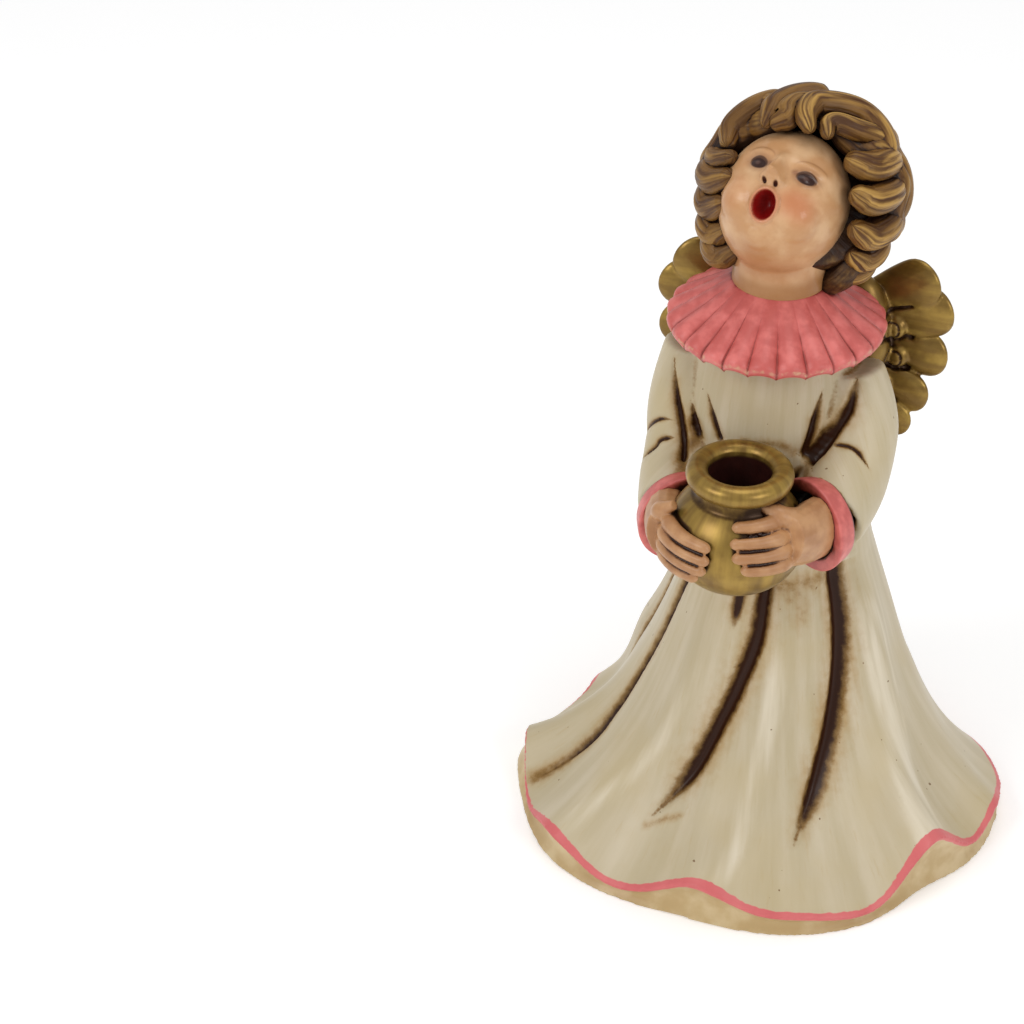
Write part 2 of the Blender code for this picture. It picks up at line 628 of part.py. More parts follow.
def hair():
    """A mass of hair behind the face, with rolled locks round the face and waved tresses down the back."""
    mass = blob("hair_mass", hair_centre, hair_size)
    for vertex in mass.data.vertices:
        local = head_turn.to_3x3().transposed() @ (vertex.co - head_centre)
        local = Vector([a / b for a, b in zip(local, head_size)])
        face_side = ease(-local.y / local.length, -0.10, 0.14)
        local *= min(1.0, (HAIR_BEHIND_FACE + 0.9 * (1.0 - face_side)) / local.length)
        local = Vector([a * b for a, b in zip(local, head_size)])
        vertex.co = head_centre + head_turn.to_3x3() @ local
    for number, (path, radii) in enumerate(FRONT_LOCKS):
        lock(f"lock_{number}", [on_hair(*spot) for spot in path], [0.001 * radius for radius in radii])
    first, last = TRESS_SPAN
    tresses = 1 + round((last - first) / TRESS_SPACING)
    for number in range(tresses):
        azimuth = first + (last - first) * number / (tresses - 1)
        line, radii = [], []
        for step in range(TRESS_POINTS):
            share = step / (TRESS_POINTS - 1)
            wave = 5.0 * math.pi * share
            line.append(on_hair(azimuth + 5.0 * math.sin(wave), 84.0 - 130.0 * share))
            swell = min(1.0, 0.35 + 2.5 * share)
            radii.append(TRESS_RADIUS * swell * (0.85 + 0.30 * abs(math.cos(wave + 0.5))))
        lock(f"tress_{number}", line, radii)


# Feathers: share of the spread, height of the tip and root over the wing's root, width share
FEATHERS = (
    (0.80, 0.0165, 0.0080, 1.10),
    (1.00, 0.0090, 0.0040, 1.00),
    (0.98, -0.0035, -0.0010, 0.95),
    (0.84, -0.0140, -0.0060, 0.85),
    (0.68, -0.0215, -0.0110, 0.75),
)


# Coverts: share of the spread, height over the wing's root and half size
COVERTS = ((0.46, 0.0030, 0.0028), (0.50, -0.0040, 0.0028), (0.40, -0.0100, 0.0024))


def wing_frame(side):
    """The wing's root, the way out along it, the way it faces, and its reach."""
    across = Vector((side * (WING_SPREAD - WING_ROOT_OFFSET), WING_SWEEP, 0.0)).normalized()
    face = Vector((side * -across.y, -abs(across.x), 0.0)).normalized()
    uneven = side * WING_UNEVENNESS
    root = Vector((side * WING_ROOT_OFFSET, WING_ROOT_DEPTH, WING_ROOT_HEIGHT + uneven))
    reach = math.hypot(WING_SPREAD - WING_ROOT_OFFSET, WING_SWEEP) + 0.5 * uneven
    return root, across, face, reach


def feather_axes(side):
    """Foot and tip of each feather."""
    root, across, _, reach = wing_frame(side)
    return [
        (root + Vector((0.0, 0.0, start)), root + share * reach * across + Vector((0.0, 0.0, rise)))
        for share, rise, start, _ in FEATHERS
    ]


def wing(side):
    """Five rounded feathers fanned from the back, with three small round coverts at their root."""
    root, across, face, reach = wing_frame(side)
    flat = (face, FEATHER_THICKNESS / FEATHER_WIDTH)
    for number, (foot, tip) in enumerate(feather_axes(side)):
        half = 0.5 * FEATHER_WIDTH * FEATHERS[number][3]
        inner = tip - half * (tip - foot).normalized()
        middle = 0.5 * (foot + inner) + 0.0010 * face
        radii = (0.8 * half, half, 1.05 * half, 0.80 * half)
        limb(f"feather_{side}_{number}", [foot, middle, inner, tip], radii, flat)
    turn = face.to_track_quat("Y", "Z").to_matrix().to_4x4()
    for number, (share, rise, size) in enumerate(COVERTS):
        centre = root + share * reach * across + Vector((0.0, 0.0, rise)) + 0.5 * FEATHER_THICKNESS * face
        blob(f"covert_{side}_{number}", centre, (size, COVERT_HALF_THICKNESS, size), turn)
    blob(f"shoulder_blade_{side}", root + 0.10 * reach * across, (0.0075, 0.0050, 0.0150))


def feather_gaps(side):
    """The lines between the feathers, front and back, as (points, width, depth)."""
    _, _, face, _ = wing_frame(side)
    axes = feather_axes(side)
    found = []
    for (foot_a, tip_a), (foot_b, tip_b) in zip(axes, axes[1:]):
        for lift in (0.5 * FEATHER_THICKNESS * face, -0.5 * FEATHER_THICKNESS * face):
            line = [0.5 * (foot_a + foot_b) + lift, 0.5 * (tip_a + tip_b) + lift]
            found.append((line, FEATHER_GAP_WIDTH, FEATHER_GAP_DEPTH))
    return found


# Creases of bodice and sleeves: points from the body's axis at the shoulder height, then width and depth
BODY_CREASES = (
    (
        (
            (0.0190, -0.0100, 0.0010), (0.0180, -0.0110, -0.0084),
            (0.0156, -0.0120, -0.0147), (0.0118, -0.0140, -0.0205), (0.0096, -0.0150, -0.0240),
        ),
        0.0014, 0.0020,
    ),
    (((0.0125, -0.0130, -0.0020), (0.0121, -0.0130, -0.0117), (0.0098, -0.0140, -0.0200)), 0.0012, 0.0016),
    (
        ((-0.0196, -0.0070, -0.0030), (-0.0170, -0.0100, -0.0134), (-0.0138, -0.0120, -0.0238)),
        0.0014, 0.0020,
    ),
    (((-0.0150, -0.0110, -0.0140), (-0.0118, -0.0120, -0.0232)), 0.0011, 0.0014),
    (((-0.0078, -0.0130, -0.0120), (-0.0060, -0.0140, -0.0200)), 0.0009, 0.0011),
    (
        (
            (0.0165, -0.0140, -0.0160), (0.0192, -0.0130, -0.0154),
            (0.0222, -0.0120, -0.0174), (0.0250, -0.0100, -0.0222),
        ),
        0.0008, 0.0011,
    ),
    (
        ((-0.0256, -0.0090, -0.0300), (-0.0217, -0.0115, -0.0243), (-0.0172, -0.0125, -0.0208)),
        0.0008, 0.0011,
    ),
    (
        ((-0.0258, -0.0075, -0.0240), (-0.0225, -0.0100, -0.0192), (-0.0184, -0.0110, -0.0168)),
        0.0008, 0.0010,
    ),
)


def mouth_pit():
    """The open mouth, as (points, width, depth)."""
    across, up = MOUTH
    return [([on_head(across, up - 0.05), on_head(across, up + 0.05)], 0.75 * MOUTH_RADIUS, MOUTH_DEPTH)]


def creases():
    """Folds under the arms, over the chest and in the elbows, as (points, width, depth)."""
    shoulder = body_centre + Vector((0.0, 0.0, SHOULDER_HEIGHT))
    return [
        ([shoulder + Vector(point) for point in path], width, depth)
        for path, width, depth in BODY_CREASES
    ]


def dense(points, step):
    """The polyline with extra points, no further apart than step."""
    result = [Vector(points[0])]
    for start, end in zip(points, points[1:]):
        parts = max(1, math.ceil((Vector(end) - Vector(start)).length / step))
        result += [Vector(start).lerp(Vector(end), (k + 1) / parts) for k in range(parts)]
    return result


def carve(obj, paths):
    """Presses grooves into the clay along paths that are first laid on its surface."""
    mesh = obj.data
    count = len(mesh.vertices)
    places = np.empty(count * 3)
    mesh.vertices.foreach_get("co", places)
    places = places.reshape(-1, 3)
    normals = np.empty(count * 3)
    mesh.vertices.foreach_get("normal", normals)
    normals = normals.reshape(-1, 3)
    surface = BVHTree.FromObject(obj, bpy.context.evaluated_depsgraph_get())
    push = np.zeros(count)
    for points, width, depth in paths:
        line = [surface.find_nearest(point)[0] for point in dense(points, 0.4 * width)]
        line = np.array([tuple(point) for point in line])
        low, high = line.min(axis=0) - 3 * width, line.max(axis=0) + 3 * width
        near = np.nonzero(((places > low) & (places < high)).all(axis=1))[0]
        gaps = places[near][:, None, :] - line[None, :, :]
        away = np.sqrt((gaps**2).sum(axis=2))
        nearest = away.argmin(axis=1)
        share = nearest / max(1, len(line) - 1)
        fade = np.clip(np.minimum(share, 1.0 - share) / 0.12, 0.25, 1.0)
        groove = depth * fade * np.exp(-((away.min(axis=1) / width) ** 2))
        push[near] = np.maximum(push[near], groove)
    places -= normals * push[:, None]
    mesh.vertices.foreach_set("co", places.reshape(-1))
    mesh.update()


def fused(name):
    """All the clay as one skin."""
    parts = list(clay)
    clay.clear()
    joined = bmesh.new()
    for obj in parts:
        joined.from_mesh(obj.data)
        bpy.data.objects.remove(obj, do_unlink=True)
    mesh = bpy.data.meshes.new(name)
    joined.to_mesh(mesh)
    joined.free()
    obj = add_object(name, mesh)
    remesh = obj.modifiers.new("fuse", "REMESH")
    remesh.mode = "VOXEL"
    remesh.voxel_size = CLAY_VOXEL
    smooth = obj.modifiers.new("smooth", "SMOOTH")
    smooth.factor = 0.5
    smooth.iterations = round(CLAY_SMOOTHING)
    return made_mesh(obj)


def drop_inner_skins(obj):
    """Removes the skins of hollows that the fusing sealed inside, and keeps the outer skin."""
    shape = bmesh.new()
    shape.from_mesh(obj.data)
    unseen = set(shape.verts)
    skins = []
    while unseen:
        start = unseen.pop()
        skin, edge = {start}, [start]
        while edge:
            for link in edge.pop().link_edges:
                for vertex in link.verts:
                    if vertex in unseen:
                        unseen.remove(vertex)
                        skin.add(vertex)
                        edge.append(vertex)
        skins.append(skin)
    outer = max(skins, key=len)
    bmesh.ops.delete(shape, geom=[vertex for vertex in shape.verts if vertex not in outer], context="VERTS")
    shape.to_mesh(obj.data)
    shape.free()


def painted(name, colour, roughness):
    material = bpy.data.materials.new(name)
    material.use_nodes = True
    shader = material.node_tree.nodes["Principled BSDF"]
    shader.inputs["Base Color"].default_value = (*colour, 1.0)
    shader.inputs["Roughness"].default_value = roughness
    shader.inputs["Metallic"].default_value = 0.0
    return material


def cutter(name, shape, collection, target):
    """A tool solid that a Boolean takes away from the target."""
    mesh = bpy.data.meshes.new(name)
    shape.to_mesh(mesh)
    shape.free()
    obj = bpy.data.objects.new(name, mesh)
    collection.objects.link(obj)
    obj.hide_render = True
    obj.display_type = "WIRE"
    cut = target.modifiers.new(name, "BOOLEAN")
    cut.operation = "DIFFERENCE"
    cut.solver = "EXACT"
    cut.object = obj


def main():
    clear_scene()
    robe()
    for side in (1, -1):
        sleeve(side)
        cuff(side)
        hand(side)
        wing(side)
    pot()
    collar()
    head()
    hair()
    figure = fused("angel_figure")
    drop_inner_skins(figure)
    folds = [([on_robe(a, s * WAIST_HEIGHT) for a, s in path], w, d) for path, w, d in SKIRT_GROOVES]
    for side in (1, -1):
        folds += finger_gaps(side) + feather_gaps(side)
    carve(figure, folds + creases() + mouth_pit())

    triangles = 2 * len(figure.data.polygons)
    thin = figure.modifiers.new("thin", "DECIMATE")
    thin.ratio = min(1.0, SOLID_TRIANGLES / triangles)
    figure = made_mesh(figure)
    corners = [vertex.co for vertex in figure.data.vertices if vertex.co.z > 0.0]
    shift = Vector((0.0, 0.0, 0.0))
    for axis in (0, 1):
        shift[axis] = -0.5 * (min(c[axis] for c in corners) + max(c[axis] for c in corners))
    figure.data.transform(Matrix.Translation(shift))

    kept = bpy.data.collections.new("angel_candle_holder")
    tools = bpy.data.collections.new("cutters")
    bpy.context.scene.collection.children.link(kept)
    bpy.context.scene.collection.children.link(tools)
    bpy.context.scene.collection.objects.unlink(figure)
    kept.objects.link(figure)
    figure.data.materials.append(painted("antiqued_cream_paint", (0.58, 0.47, 0.32), 0.45))
    figure.data.shade_smooth()

    level = bmesh.new()
    side = 4.0 * HEM_RADIUS
    below = Matrix.Translation((0.0, 0.0, -0.5 * side)) @ Matrix.Scale(side, 4)
    bmesh.ops.create_cube(level, size=1.0, matrix=below)
    cutter("level_base", level, tools, figure)
    socket = bmesh.new()
    bore_top = RIM_HEIGHT + 2.0 * RIM_THICKNESS
    bore_floor = RIM_HEIGHT + RIM_THICKNESS - SOCKET_DEPTH
    place = pot_axis + shift + Vector((0.0, 0.0, 0.5 * (bore_top + bore_floor)))
    bmesh.ops.create_cone(
        socket, cap_ends=True, segments=64, radius1=0.5 * SOCKET_BORE, radius2=0.5 * SOCKET_BORE,
        depth=bore_top - bore_floor, matrix=Matrix.Translation(place),
    )
    cutter("candle_socket", socket, tools, figure)


main()
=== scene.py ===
"""Angel candle holder: the painted look of the casting.

The figure is dressed piece by piece, in the order in which it was modelled and painted: robe with its
sleeves, cuffs, collar, pot, hands, head, hair and wings. The studio comes last.
"""

import json
import math

import bpy
import numpy as np
from mathutils import Matrix, Vector
from mathutils.bvhtree import BVHTree
from mathutils.kdtree import KDTree


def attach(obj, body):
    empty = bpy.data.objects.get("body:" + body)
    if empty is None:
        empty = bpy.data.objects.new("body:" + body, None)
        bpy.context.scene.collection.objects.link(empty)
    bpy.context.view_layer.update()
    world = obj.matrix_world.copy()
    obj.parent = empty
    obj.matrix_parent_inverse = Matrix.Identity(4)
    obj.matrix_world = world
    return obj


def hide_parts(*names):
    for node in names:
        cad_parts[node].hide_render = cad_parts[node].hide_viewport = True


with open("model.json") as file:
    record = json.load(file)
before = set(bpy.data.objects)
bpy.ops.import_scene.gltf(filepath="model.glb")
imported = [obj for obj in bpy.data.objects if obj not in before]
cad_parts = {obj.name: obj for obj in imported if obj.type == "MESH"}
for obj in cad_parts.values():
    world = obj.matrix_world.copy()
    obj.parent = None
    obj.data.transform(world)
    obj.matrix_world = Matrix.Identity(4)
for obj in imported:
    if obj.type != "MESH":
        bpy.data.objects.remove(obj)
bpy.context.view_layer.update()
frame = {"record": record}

# Robe with its sleeves. The real one is the body of the casting, brushed with cream enamel. A brown wash
# was laid over it and wiped off, so it stays in the folds, and a rose line was painted on the hem.
# The figure is drawn about its own upright axis; the candle socket of the casting says where that axis is.
POT_OFFSET = 0.0010
POT_REACH = 0.0344
socket_seat = next(m for m in frame["record"]["mounts"] if m["name"] == "candle_seat")
figure_place = Vector((socket_seat["pos_m"][0] + POT_OFFSET, socket_seat["pos_m"][1] + POT_REACH, 0.0))

HEM_RADIUS = 0.0567
HEM_HEIGHT = 0.0050
HEM_TUCK = 0.0016
HEM_BACK_DRAW_IN = 0.0120
HEM_FRONT_TURN = 12.0
WAIST_HEIGHT = 0.0680
WAIST_RADIUS = 0.0214
BELL_CURL = 4.0
BELL_SLOPE = 0.52
BELT_HEIGHT = 0.0860
BELT_HALF_WIDTH = 0.0192
BELT_HALF_DEPTH = 0.0180
CHEST_HEIGHT = 0.1040
CHEST_HALF_WIDTH = 0.0190
CHEST_HALF_DEPTH = 0.0150
SHOULDER_HEIGHT = 0.1200
SHOULDER_HALF_WIDTH = 0.0165
SHOULDER_HALF_DEPTH = 0.0120
UPPER_BODY_LEAN = 0.0050
UPPER_BODY_SWAY = 0.0020
COLLAR_HEIGHT = 0.1250
COLLAR_RISE = 0.0085
NECK_RADIUS = 0.0097
UPPER_ARM_RADIUS = 0.0088
FOREARM_RADIUS = 0.0088
ELBOW_HEIGHT = 0.0955
ARM_SPREAD = 0.0188
ARM_DROP = 0.0022
ARM_SHIFT = 0.0016
CUFF_RADIUS = 0.0096
ROBE_TURN_STEPS = 300
ROBE_ROWS = (60, 130, 16)
ROBE_VOXEL = 0.00052
ROBE_SMOOTHING = 14
SNAP_HEIGHT = 0.0560
SLEEVE_RECESS = 0.0020
SLEEVE_MOUTH = (0.0034, 0.0024)
VALLEY_DEPTH = 0.30
HEM_PAINT_TOP = 0.022
FLOOR_RADIUS = 0.035
SIDES = {1: "right", -1: "left"}

# Hem humps: angle from the front in degrees, height over the low hem line and angular width
HEM_HUMPS = (
    (-72, 0.0075, 10), (-38, 0.0065, 11), (0, 0.0085, 12), (23, 0.0025, 12),
    (59, 0.0128, 11), (86, 0.0050, 10), (112, 0.0035, 12), (140, 0.0055, 13),
    (176, 0.0050, 13), (-142, 0.0055, 13), (-106, 0.0040, 12),
)
# Floor outline: angle, change of the radius and angular width
HEM_SWELLS = (
    (-38, 0.0024, 18), (-2, -0.0016, 14), (30, 0.0004, 14),
    (57, -0.0030, 12), (150, 0.0012, 20), (-150, 0.0012, 20),
)
# Raised folds, and one broad hollow: (angle, share of the waist height) points, then height and width
SKIRT_RIDGES = (
    (((-17, 0.92), (-20, 0.71), (-26, 0.43), (-34, 0.20), (-37, 0.08)), 0.0016, 0.0050),
    (((17, 0.92), (17, 0.69), (12, 0.46), (8, 0.25), (3, 0.12)), 0.0016, 0.0045),
    (((67, 0.98), (70, 0.74), (68, 0.47), (61, 0.28), (57, 0.14)), 0.0022, 0.0060),
    (((-80, 1.25), (-80, 0.70), (-80, 0.45), (-80, 0.20), (-78, 0.08)), -0.0042, 0.0200),
    (((104, 0.95), (102, 0.70), (98, 0.45), (91, 0.20), (86, 0.08)), 0.0008, 0.0050),
    (((140, 0.95), (142, 0.70), (142, 0.45), (141, 0.20), (140, 0.08)), 0.0018, 0.0055),
    (((180, 0.95), (179, 0.70), (178, 0.45), (177, 0.20), (176, 0.08)), 0.0016, 0.0050),
    (((-112, 0.95), (-112, 0.70), (-109, 0.45), (-107, 0.20), (-106, 0.08)), 0.0018, 0.0055),
    (((-145, 0.95), (-145, 0.70), (-144, 0.45), (-143, 0.20), (-142, 0.08)), 0.0016, 0.0050),
)
# Carved grooves: (angle, share of the waist height) points, width, depth, and the share of the length
# over which each end tapers
SKIRT_GROOVES = (
    (
        (
            (-52, 0.92), (-55, 0.84), (-57, 0.68), (-59, 0.50), (-58, 0.36), (-57, 0.27),
            (-58, 0.18), (-59, 0.09),
        ),
        0.0015, 0.0020, 0.05, 0.30,
    ),
    (
        (
            (9, 1.02), (8, 0.96), (6, 0.82), (0, 0.66), (-5, 0.54), (-10, 0.405), (-14.5, 0.315),
            (-18.5, 0.235),
        ),
        0.0020, 0.0026, 0.02, 0.24,
    ),
    (
        (
            (52, 1.06), (51, 0.83), (47.3, 0.67), (41, 0.525), (36, 0.434), (31, 0.346),
            (25, 0.257), (23.5, 0.230),
        ),
        0.0023, 0.0028, 0.02, 0.22,
    ),
    (((-6, 0.97), (-6, 0.84)), 0.0014, 0.0012, 0.02, 0.6),
    (((122, 0.95), (124, 0.70), (125, 0.48), (126, 0.26)), 0.0015, 0.0018, 0.1, 0.4),
    (((160, 0.98), (161, 0.70), (160, 0.45), (158, 0.22)), 0.0017, 0.0022, 0.1, 0.4),
    (((-94, 0.95), (-94, 0.70), (-92, 0.45), (-90, 0.22)), 0.0014, 0.0018, 0.1, 0.4),
    (((-128, 0.95), (-128, 0.70), (-126, 0.45), (-124, 0.24)), 0.0015, 0.0020, 0.1, 0.4),
    (((-163, 0.98), (-163, 0.70), (-162, 0.45), (-161, 0.22)), 0.0017, 0.0022, 0.1, 0.4),
)
# Creases of bodice and sleeves: points from the body's axis at the shoulder height, then the same
# width, depth and tapers
BODY_CREASES = (
    (
        (
            (0.0188, -0.0052, -0.0020), (0.0184, -0.0072, -0.0084), (0.0172, -0.0084, -0.0125),
            (0.0144, -0.0104, -0.0175), (0.0118, -0.0124, -0.0220),
        ),
        0.0015, 0.0023, 0.40, 0.05,
    ),
    (
        ((0.0127, -0.0090, -0.0055), (0.0120, -0.0111, -0.0130), (0.0104, -0.0123, -0.0205)),
        0.0011, 0.0018, 0.55, 0.05,
    ),
    (
        (
            (-0.0196, -0.0063, -0.0055), (-0.0182, -0.0082, -0.0125), (-0.0164, -0.0101, -0.0180),
            (-0.0150, -0.0125, -0.0222), (-0.0138, -0.0170, -0.0240),
        ),
        0.0010, 0.0020, 0.50, 0.05,
    ),
    (
        (
            (-0.0150, -0.0094, -0.0130), (-0.0132, -0.0100, -0.0182), (-0.0114, -0.0113, -0.0218),
        ),
        0.0007, 0.0014, 0.55, 0.25,
    ),
    (
        (
            (-0.0112, -0.0108, -0.0098), (-0.0087, -0.0131, -0.0158), (-0.0068, -0.0134, -0.0195),
        ),
        0.0008, 0.0012, 0.60, 0.05,
    ),
    (
        (
            (0.0158, -0.0106, -0.0178), (0.0188, -0.0115, -0.0164),
            (0.0214, -0.0118, -0.0175), (0.0240, -0.0132, -0.0205),
        ),
        0.00045, 0.0010, 0.25, 0.4,
    ),
    (
        (
            (-0.0252, -0.0062, -0.0268), (-0.0239, -0.0077, -0.0232), (-0.0208, -0.0099, -0.0189),
            (-0.0176, -0.0110, -0.0178),
        ),
        0.00045, 0.0009, 0.4, 0.3,
    ),
    (
        (
            (-0.0246, -0.0118, -0.0290), (-0.0215, -0.0134, -0.0242), (-0.0196, -0.0120, -0.0227),
            (-0.0168, -0.0128, -0.0209),
        ),
        0.00048, 0.0010, 0.4, 0.2,
    ),
)
# Places where the wash was left standing on the skirt, and painted shade under the pot: (angle, share of
# the waist height) points, width and strength
SKIRT_WASH_AND_SHADE = (
    (((-56, 0.31), (-57, 0.24), (-58, 0.16), (-59.5, 0.08)), 0.0030, 1.05),
    (((-19, 0.205), (-15, 0.235), (-10, 0.260)), 0.0013, 0.8),
    (((-44, 1.04), (-15, 1.02), (12, 1.00), (44, 1.02)), 0.0036, 0.9),
    (((20, 0.99), (27, 0.95), (29, 0.90)), 0.0038, 0.70),
    (((47, 0.70), (40, 0.50), (33, 0.36), (26, 0.26)), 0.0034, 0.60),
    (((6, 0.80), (2, 0.64), (-5, 0.46), (-12, 0.33)), 0.0034, 0.60),
    (((-52, 0.80), (-55, 0.62), (-55, 0.45)), 0.0026, 0.45),
)
# The same on the bodice, with painted shade beside and behind the pot and under the collar: points from
# the body's axis at the shoulder height
BODY_WASH_AND_SHADE = (
    (
        (
            (-0.0140, -0.0098, -0.0180), (-0.0130, -0.0110, -0.0216), (-0.0146, -0.0152, -0.0226),
            (-0.0136, -0.0191, -0.0245),
        ),
        0.0025, 1.10,
    ),
    (
        (
            (0.0176, -0.0079, -0.0115), (0.0144, -0.0104, -0.0175), (0.0122, -0.0122, -0.0213),
            (0.0114, -0.0195, -0.0213),
        ),
        0.0024, 0.92,
    ),
    (
        (
            (-0.0017, -0.0149, -0.0175), (0.0024, -0.0149, -0.0172), (0.0060, -0.0142, -0.0172),
            (0.0083, -0.0134, -0.0189),
        ),
        0.0016, 0.95,
    ),
    (
        (
            (-0.0134, -0.0085, -0.0067), (-0.0062, -0.0120, -0.0050), (0.0023, -0.0126, -0.0039),
            (0.0118, -0.0090, -0.0029), (0.0166, -0.0027, -0.0032),
        ),
        0.0011, 0.35,
    ),
)
body_centre = Vector((-UPPER_BODY_SWAY, -UPPER_BODY_LEAN, 0.0))
pot_axis = Vector((-POT_OFFSET, -POT_REACH, 0.0))


def only(obj):
    bpy.ops.object.select_all(action="DESELECT")
    obj.select_set(True)
    bpy.context.view_layer.objects.active = obj
    return obj


def applied(obj, kind, **settings):
    """The object with one modifier of a kind added and applied."""
    only(obj)
    modifier = obj.modifiers.new(kind.lower(), kind)
    for name, value in settings.items():
        setattr(modifier, name, value)
    bpy.ops.object.modifier_apply(modifier=modifier.name)
    return obj


def faces_out(obj, merge=1e-7):
    only(obj)
    bpy.ops.object.mode_set(mode="EDIT")
    bpy.ops.mesh.select_all(action="SELECT")
    bpy.ops.mesh.remove_doubles(threshold=merge)
    bpy.ops.mesh.normals_make_consistent(inside=False)
    bpy.ops.object.mode_set(mode="OBJECT")
    return obj


def turned(name, profile, steps, closed=False):
    """A shape turned about the upright axis from (radius, height) points."""
    count = len(profile)
    links = [(i, i + 1) for i in range(count - 1)]
    if closed:
        links.append((count - 1, 0))
    mesh = bpy.data.meshes.new(name)
    mesh.from_pydata([(radius, 0.0, height) for radius, height in profile], links, [])
    obj = bpy.data.objects.new(name, mesh)
    bpy.context.scene.collection.objects.link(obj)
    applied(
        obj, "SCREW", steps=steps, render_steps=steps, use_merge_vertices=True, merge_threshold=1e-7
    )
    return faces_out(obj)


def tube(name, points, radii, section=None, detail=6, steps=8):
    """A closed tube along a smooth curve, with its own radius at each point.

    section is an outline of unit size that is swept in place of a circle.
    """
    curve = bpy.data.curves.new(name, "CURVE")
    curve.dimensions = "3D"
    curve.use_fill_caps = True
    curve.resolution_u = steps
    if section:
        curve.bevel_mode = "OBJECT"
        curve.bevel_object = section
    else:
        curve.bevel_depth = 1.0
        curve.bevel_resolution = detail
    spline = curve.splines.new("NURBS")
    spline.points.add(len(points) - 1)
    for control, point, radius in zip(spline.points, points, radii):
        control.co = (*point, 1.0)
        control.radius = radius
    spline.order_u = 3
    spline.use_endpoint_u = True
    obj = bpy.data.objects.new(name, curve)
    bpy.context.scene.collection.objects.link(obj)
    only(obj)
    bpy.ops.object.convert(target="MESH")
    return faces_out(bpy.context.view_layer.objects.active, 1e-6)


def joined(name, pieces):
    bpy.ops.object.select_all(action="DESELECT")
    for piece in pieces:
        piece.select_set(True)
    bpy.context.view_layer.objects.active = pieces[0]
    bpy.ops.object.join()
    pieces[0].name = name
    pieces[0].data.name = name
    return pieces[0]


def fused(name, pieces, voxel, smoothing):
    """Overlapping shapes made one skin, as wet clay is."""
    obj = joined(name, pieces)
    applied(obj, "REMESH", mode="VOXEL", voxel_size=voxel)
    return applied(obj, "SMOOTH", factor=0.5, iterations=smoothing)


def places(obj):
    values = np.empty(len(obj.data.vertices) * 3)
    obj.data.vertices.foreach_get("co", values)
    return values.reshape(-1, 3)


def directions(obj):
    values = np.empty(len(obj.data.vertices) * 3)
    obj.data.vertices.foreach_get("normal", values)
    return values.reshape(-1, 3)


def put_places(obj, values):
    obj.data.vertices.foreach_set("co", np.ascontiguousarray(values, dtype=float).reshape(-1))
    obj.data.update()


def note(obj, name, values):
    """Keeps one number, or one vector, for each vertex, for the material to read."""
    values = np.ascontiguousarray(values, dtype=float)
    kind = "FLOAT" if values.ndim == 1 else "FLOAT_VECTOR"
    layer = obj.data.attributes.get(name) or obj.data.attributes.new(name, kind, "POINT")
    layer.data.foreach_set("value" if kind == "FLOAT" else "vector", values.reshape(-1))


def noted(obj, name):
    values = np.empty(len(obj.data.vertices))
    obj.data.attributes[name].data.foreach_get("value", values)
    return values


def bell(distance, width):
    return np.exp(-((distance / width) ** 2))


def ease(value, low, high):
    share = np.clip((value - low) / (high - low), 0.0, 1.0)
    return share * share * (3.0 - 2.0 * share)


def between(a, b):
    return (a - b + 180.0) % 360.0 - 180.0


def dense(points, step):
    """A smooth curve through the points, as points no further apart than step."""
    points = [Vector(point) for point in points]
    ends = [2.0 * points[0] - points[1]] + points + [2.0 * points[-1] - points[-2]]
    result = [points[0]]
    for before, start, end, after in zip(ends, ends[1:], ends[2:], ends[3:]):
        parts = max(1, math.ceil((end - start).length / step))
        for k in range(1, parts + 1):
            t = k / parts
            cubic = 3.0 * start - before - 3.0 * end + after
            square = 2.0 * before - 5.0 * start + 4.0 * end - after
            result.append(0.5 * (2.0 * start + (end - before) * t + square * t * t + cubic * t * t * t))
    return result


def near_line(points, line, reach):
    """The vertices near a line, their distance from it and how far along it they lie, from 0 to 1."""
    low, high = line.min(axis=0) - reach, line.max(axis=0) + reach
    near = np.nonzero(((points > low) & (points < high)).all(axis=1))[0]
    away = np.full(len(near), 1e9)
    share = np.zeros(len(near))
    for index, spot in enumerate(line):
        gap = np.sqrt(((points[near] - spot) ** 2).sum(axis=1))
        closer = gap < away
        away[closer] = gap[closer]
        share[closer] = index / max(1, len(line) - 1)
    return near, away, share


def carve(obj, strokes, smears_and_shade=(), halo_width=2.3):
    """Presses tapered grooves into the skin, and notes how near each vertex is to one and to its halo."""
    points, normals = places(obj), directions(obj)
    surface = BVHTree.FromObject(obj, bpy.context.evaluated_depsgraph_get())
    push, near_groove, near_halo = (np.zeros(len(points)) for _ in range(3))
    for path, width, depth, start_taper, end_taper in strokes:
        line = [surface.find_nearest(point)[0] for point in dense(path, 0.14 * width)]
        line = np.array([tuple(point) for point in line])
        near, away, share = near_line(points, line, 2.6 * halo_width * width)
        fade = ease(share, -0.25 * start_taper, start_taper)
        fade *= ease(1.0 - share, -0.25 * end_taper, end_taper)
        narrow = width * (0.30 + 0.70 * fade)
        valley = VALLEY_DEPTH * bell(away, 2.4 * width)
        push[near] = np.maximum(push[near], depth * fade * np.maximum(bell(away, narrow), valley))
        near_groove[near] = np.maximum(near_groove[near], (0.10 + 0.90 * fade) * bell(away, narrow))
        wide = (0.35 + 0.65 * fade) * bell(away, halo_width * narrow)
        near_halo[near] = np.maximum(near_halo[near], wide)
    # Smears: wash left standing, and painted shade under and beside the pot and under the collar
    for path, width, strength in smears_and_shade:
        line = np.array([tuple(surface.find_nearest(point)[0]) for point in dense(path, 0.35 * width)])
        near, away, _ = near_line(points, line, 2.5 * width)
        near_halo[near] = np.maximum(near_halo[near], strength * bell(away, width))
        near_groove[near] = np.maximum(near_groove[near], 0.42 * strength**2 * bell(away, 0.7 * width))
    put_places(obj, points - normals * push[:, None])
    note(obj, "groove", near_groove)
    note(obj, "halo", near_halo)
    return obj


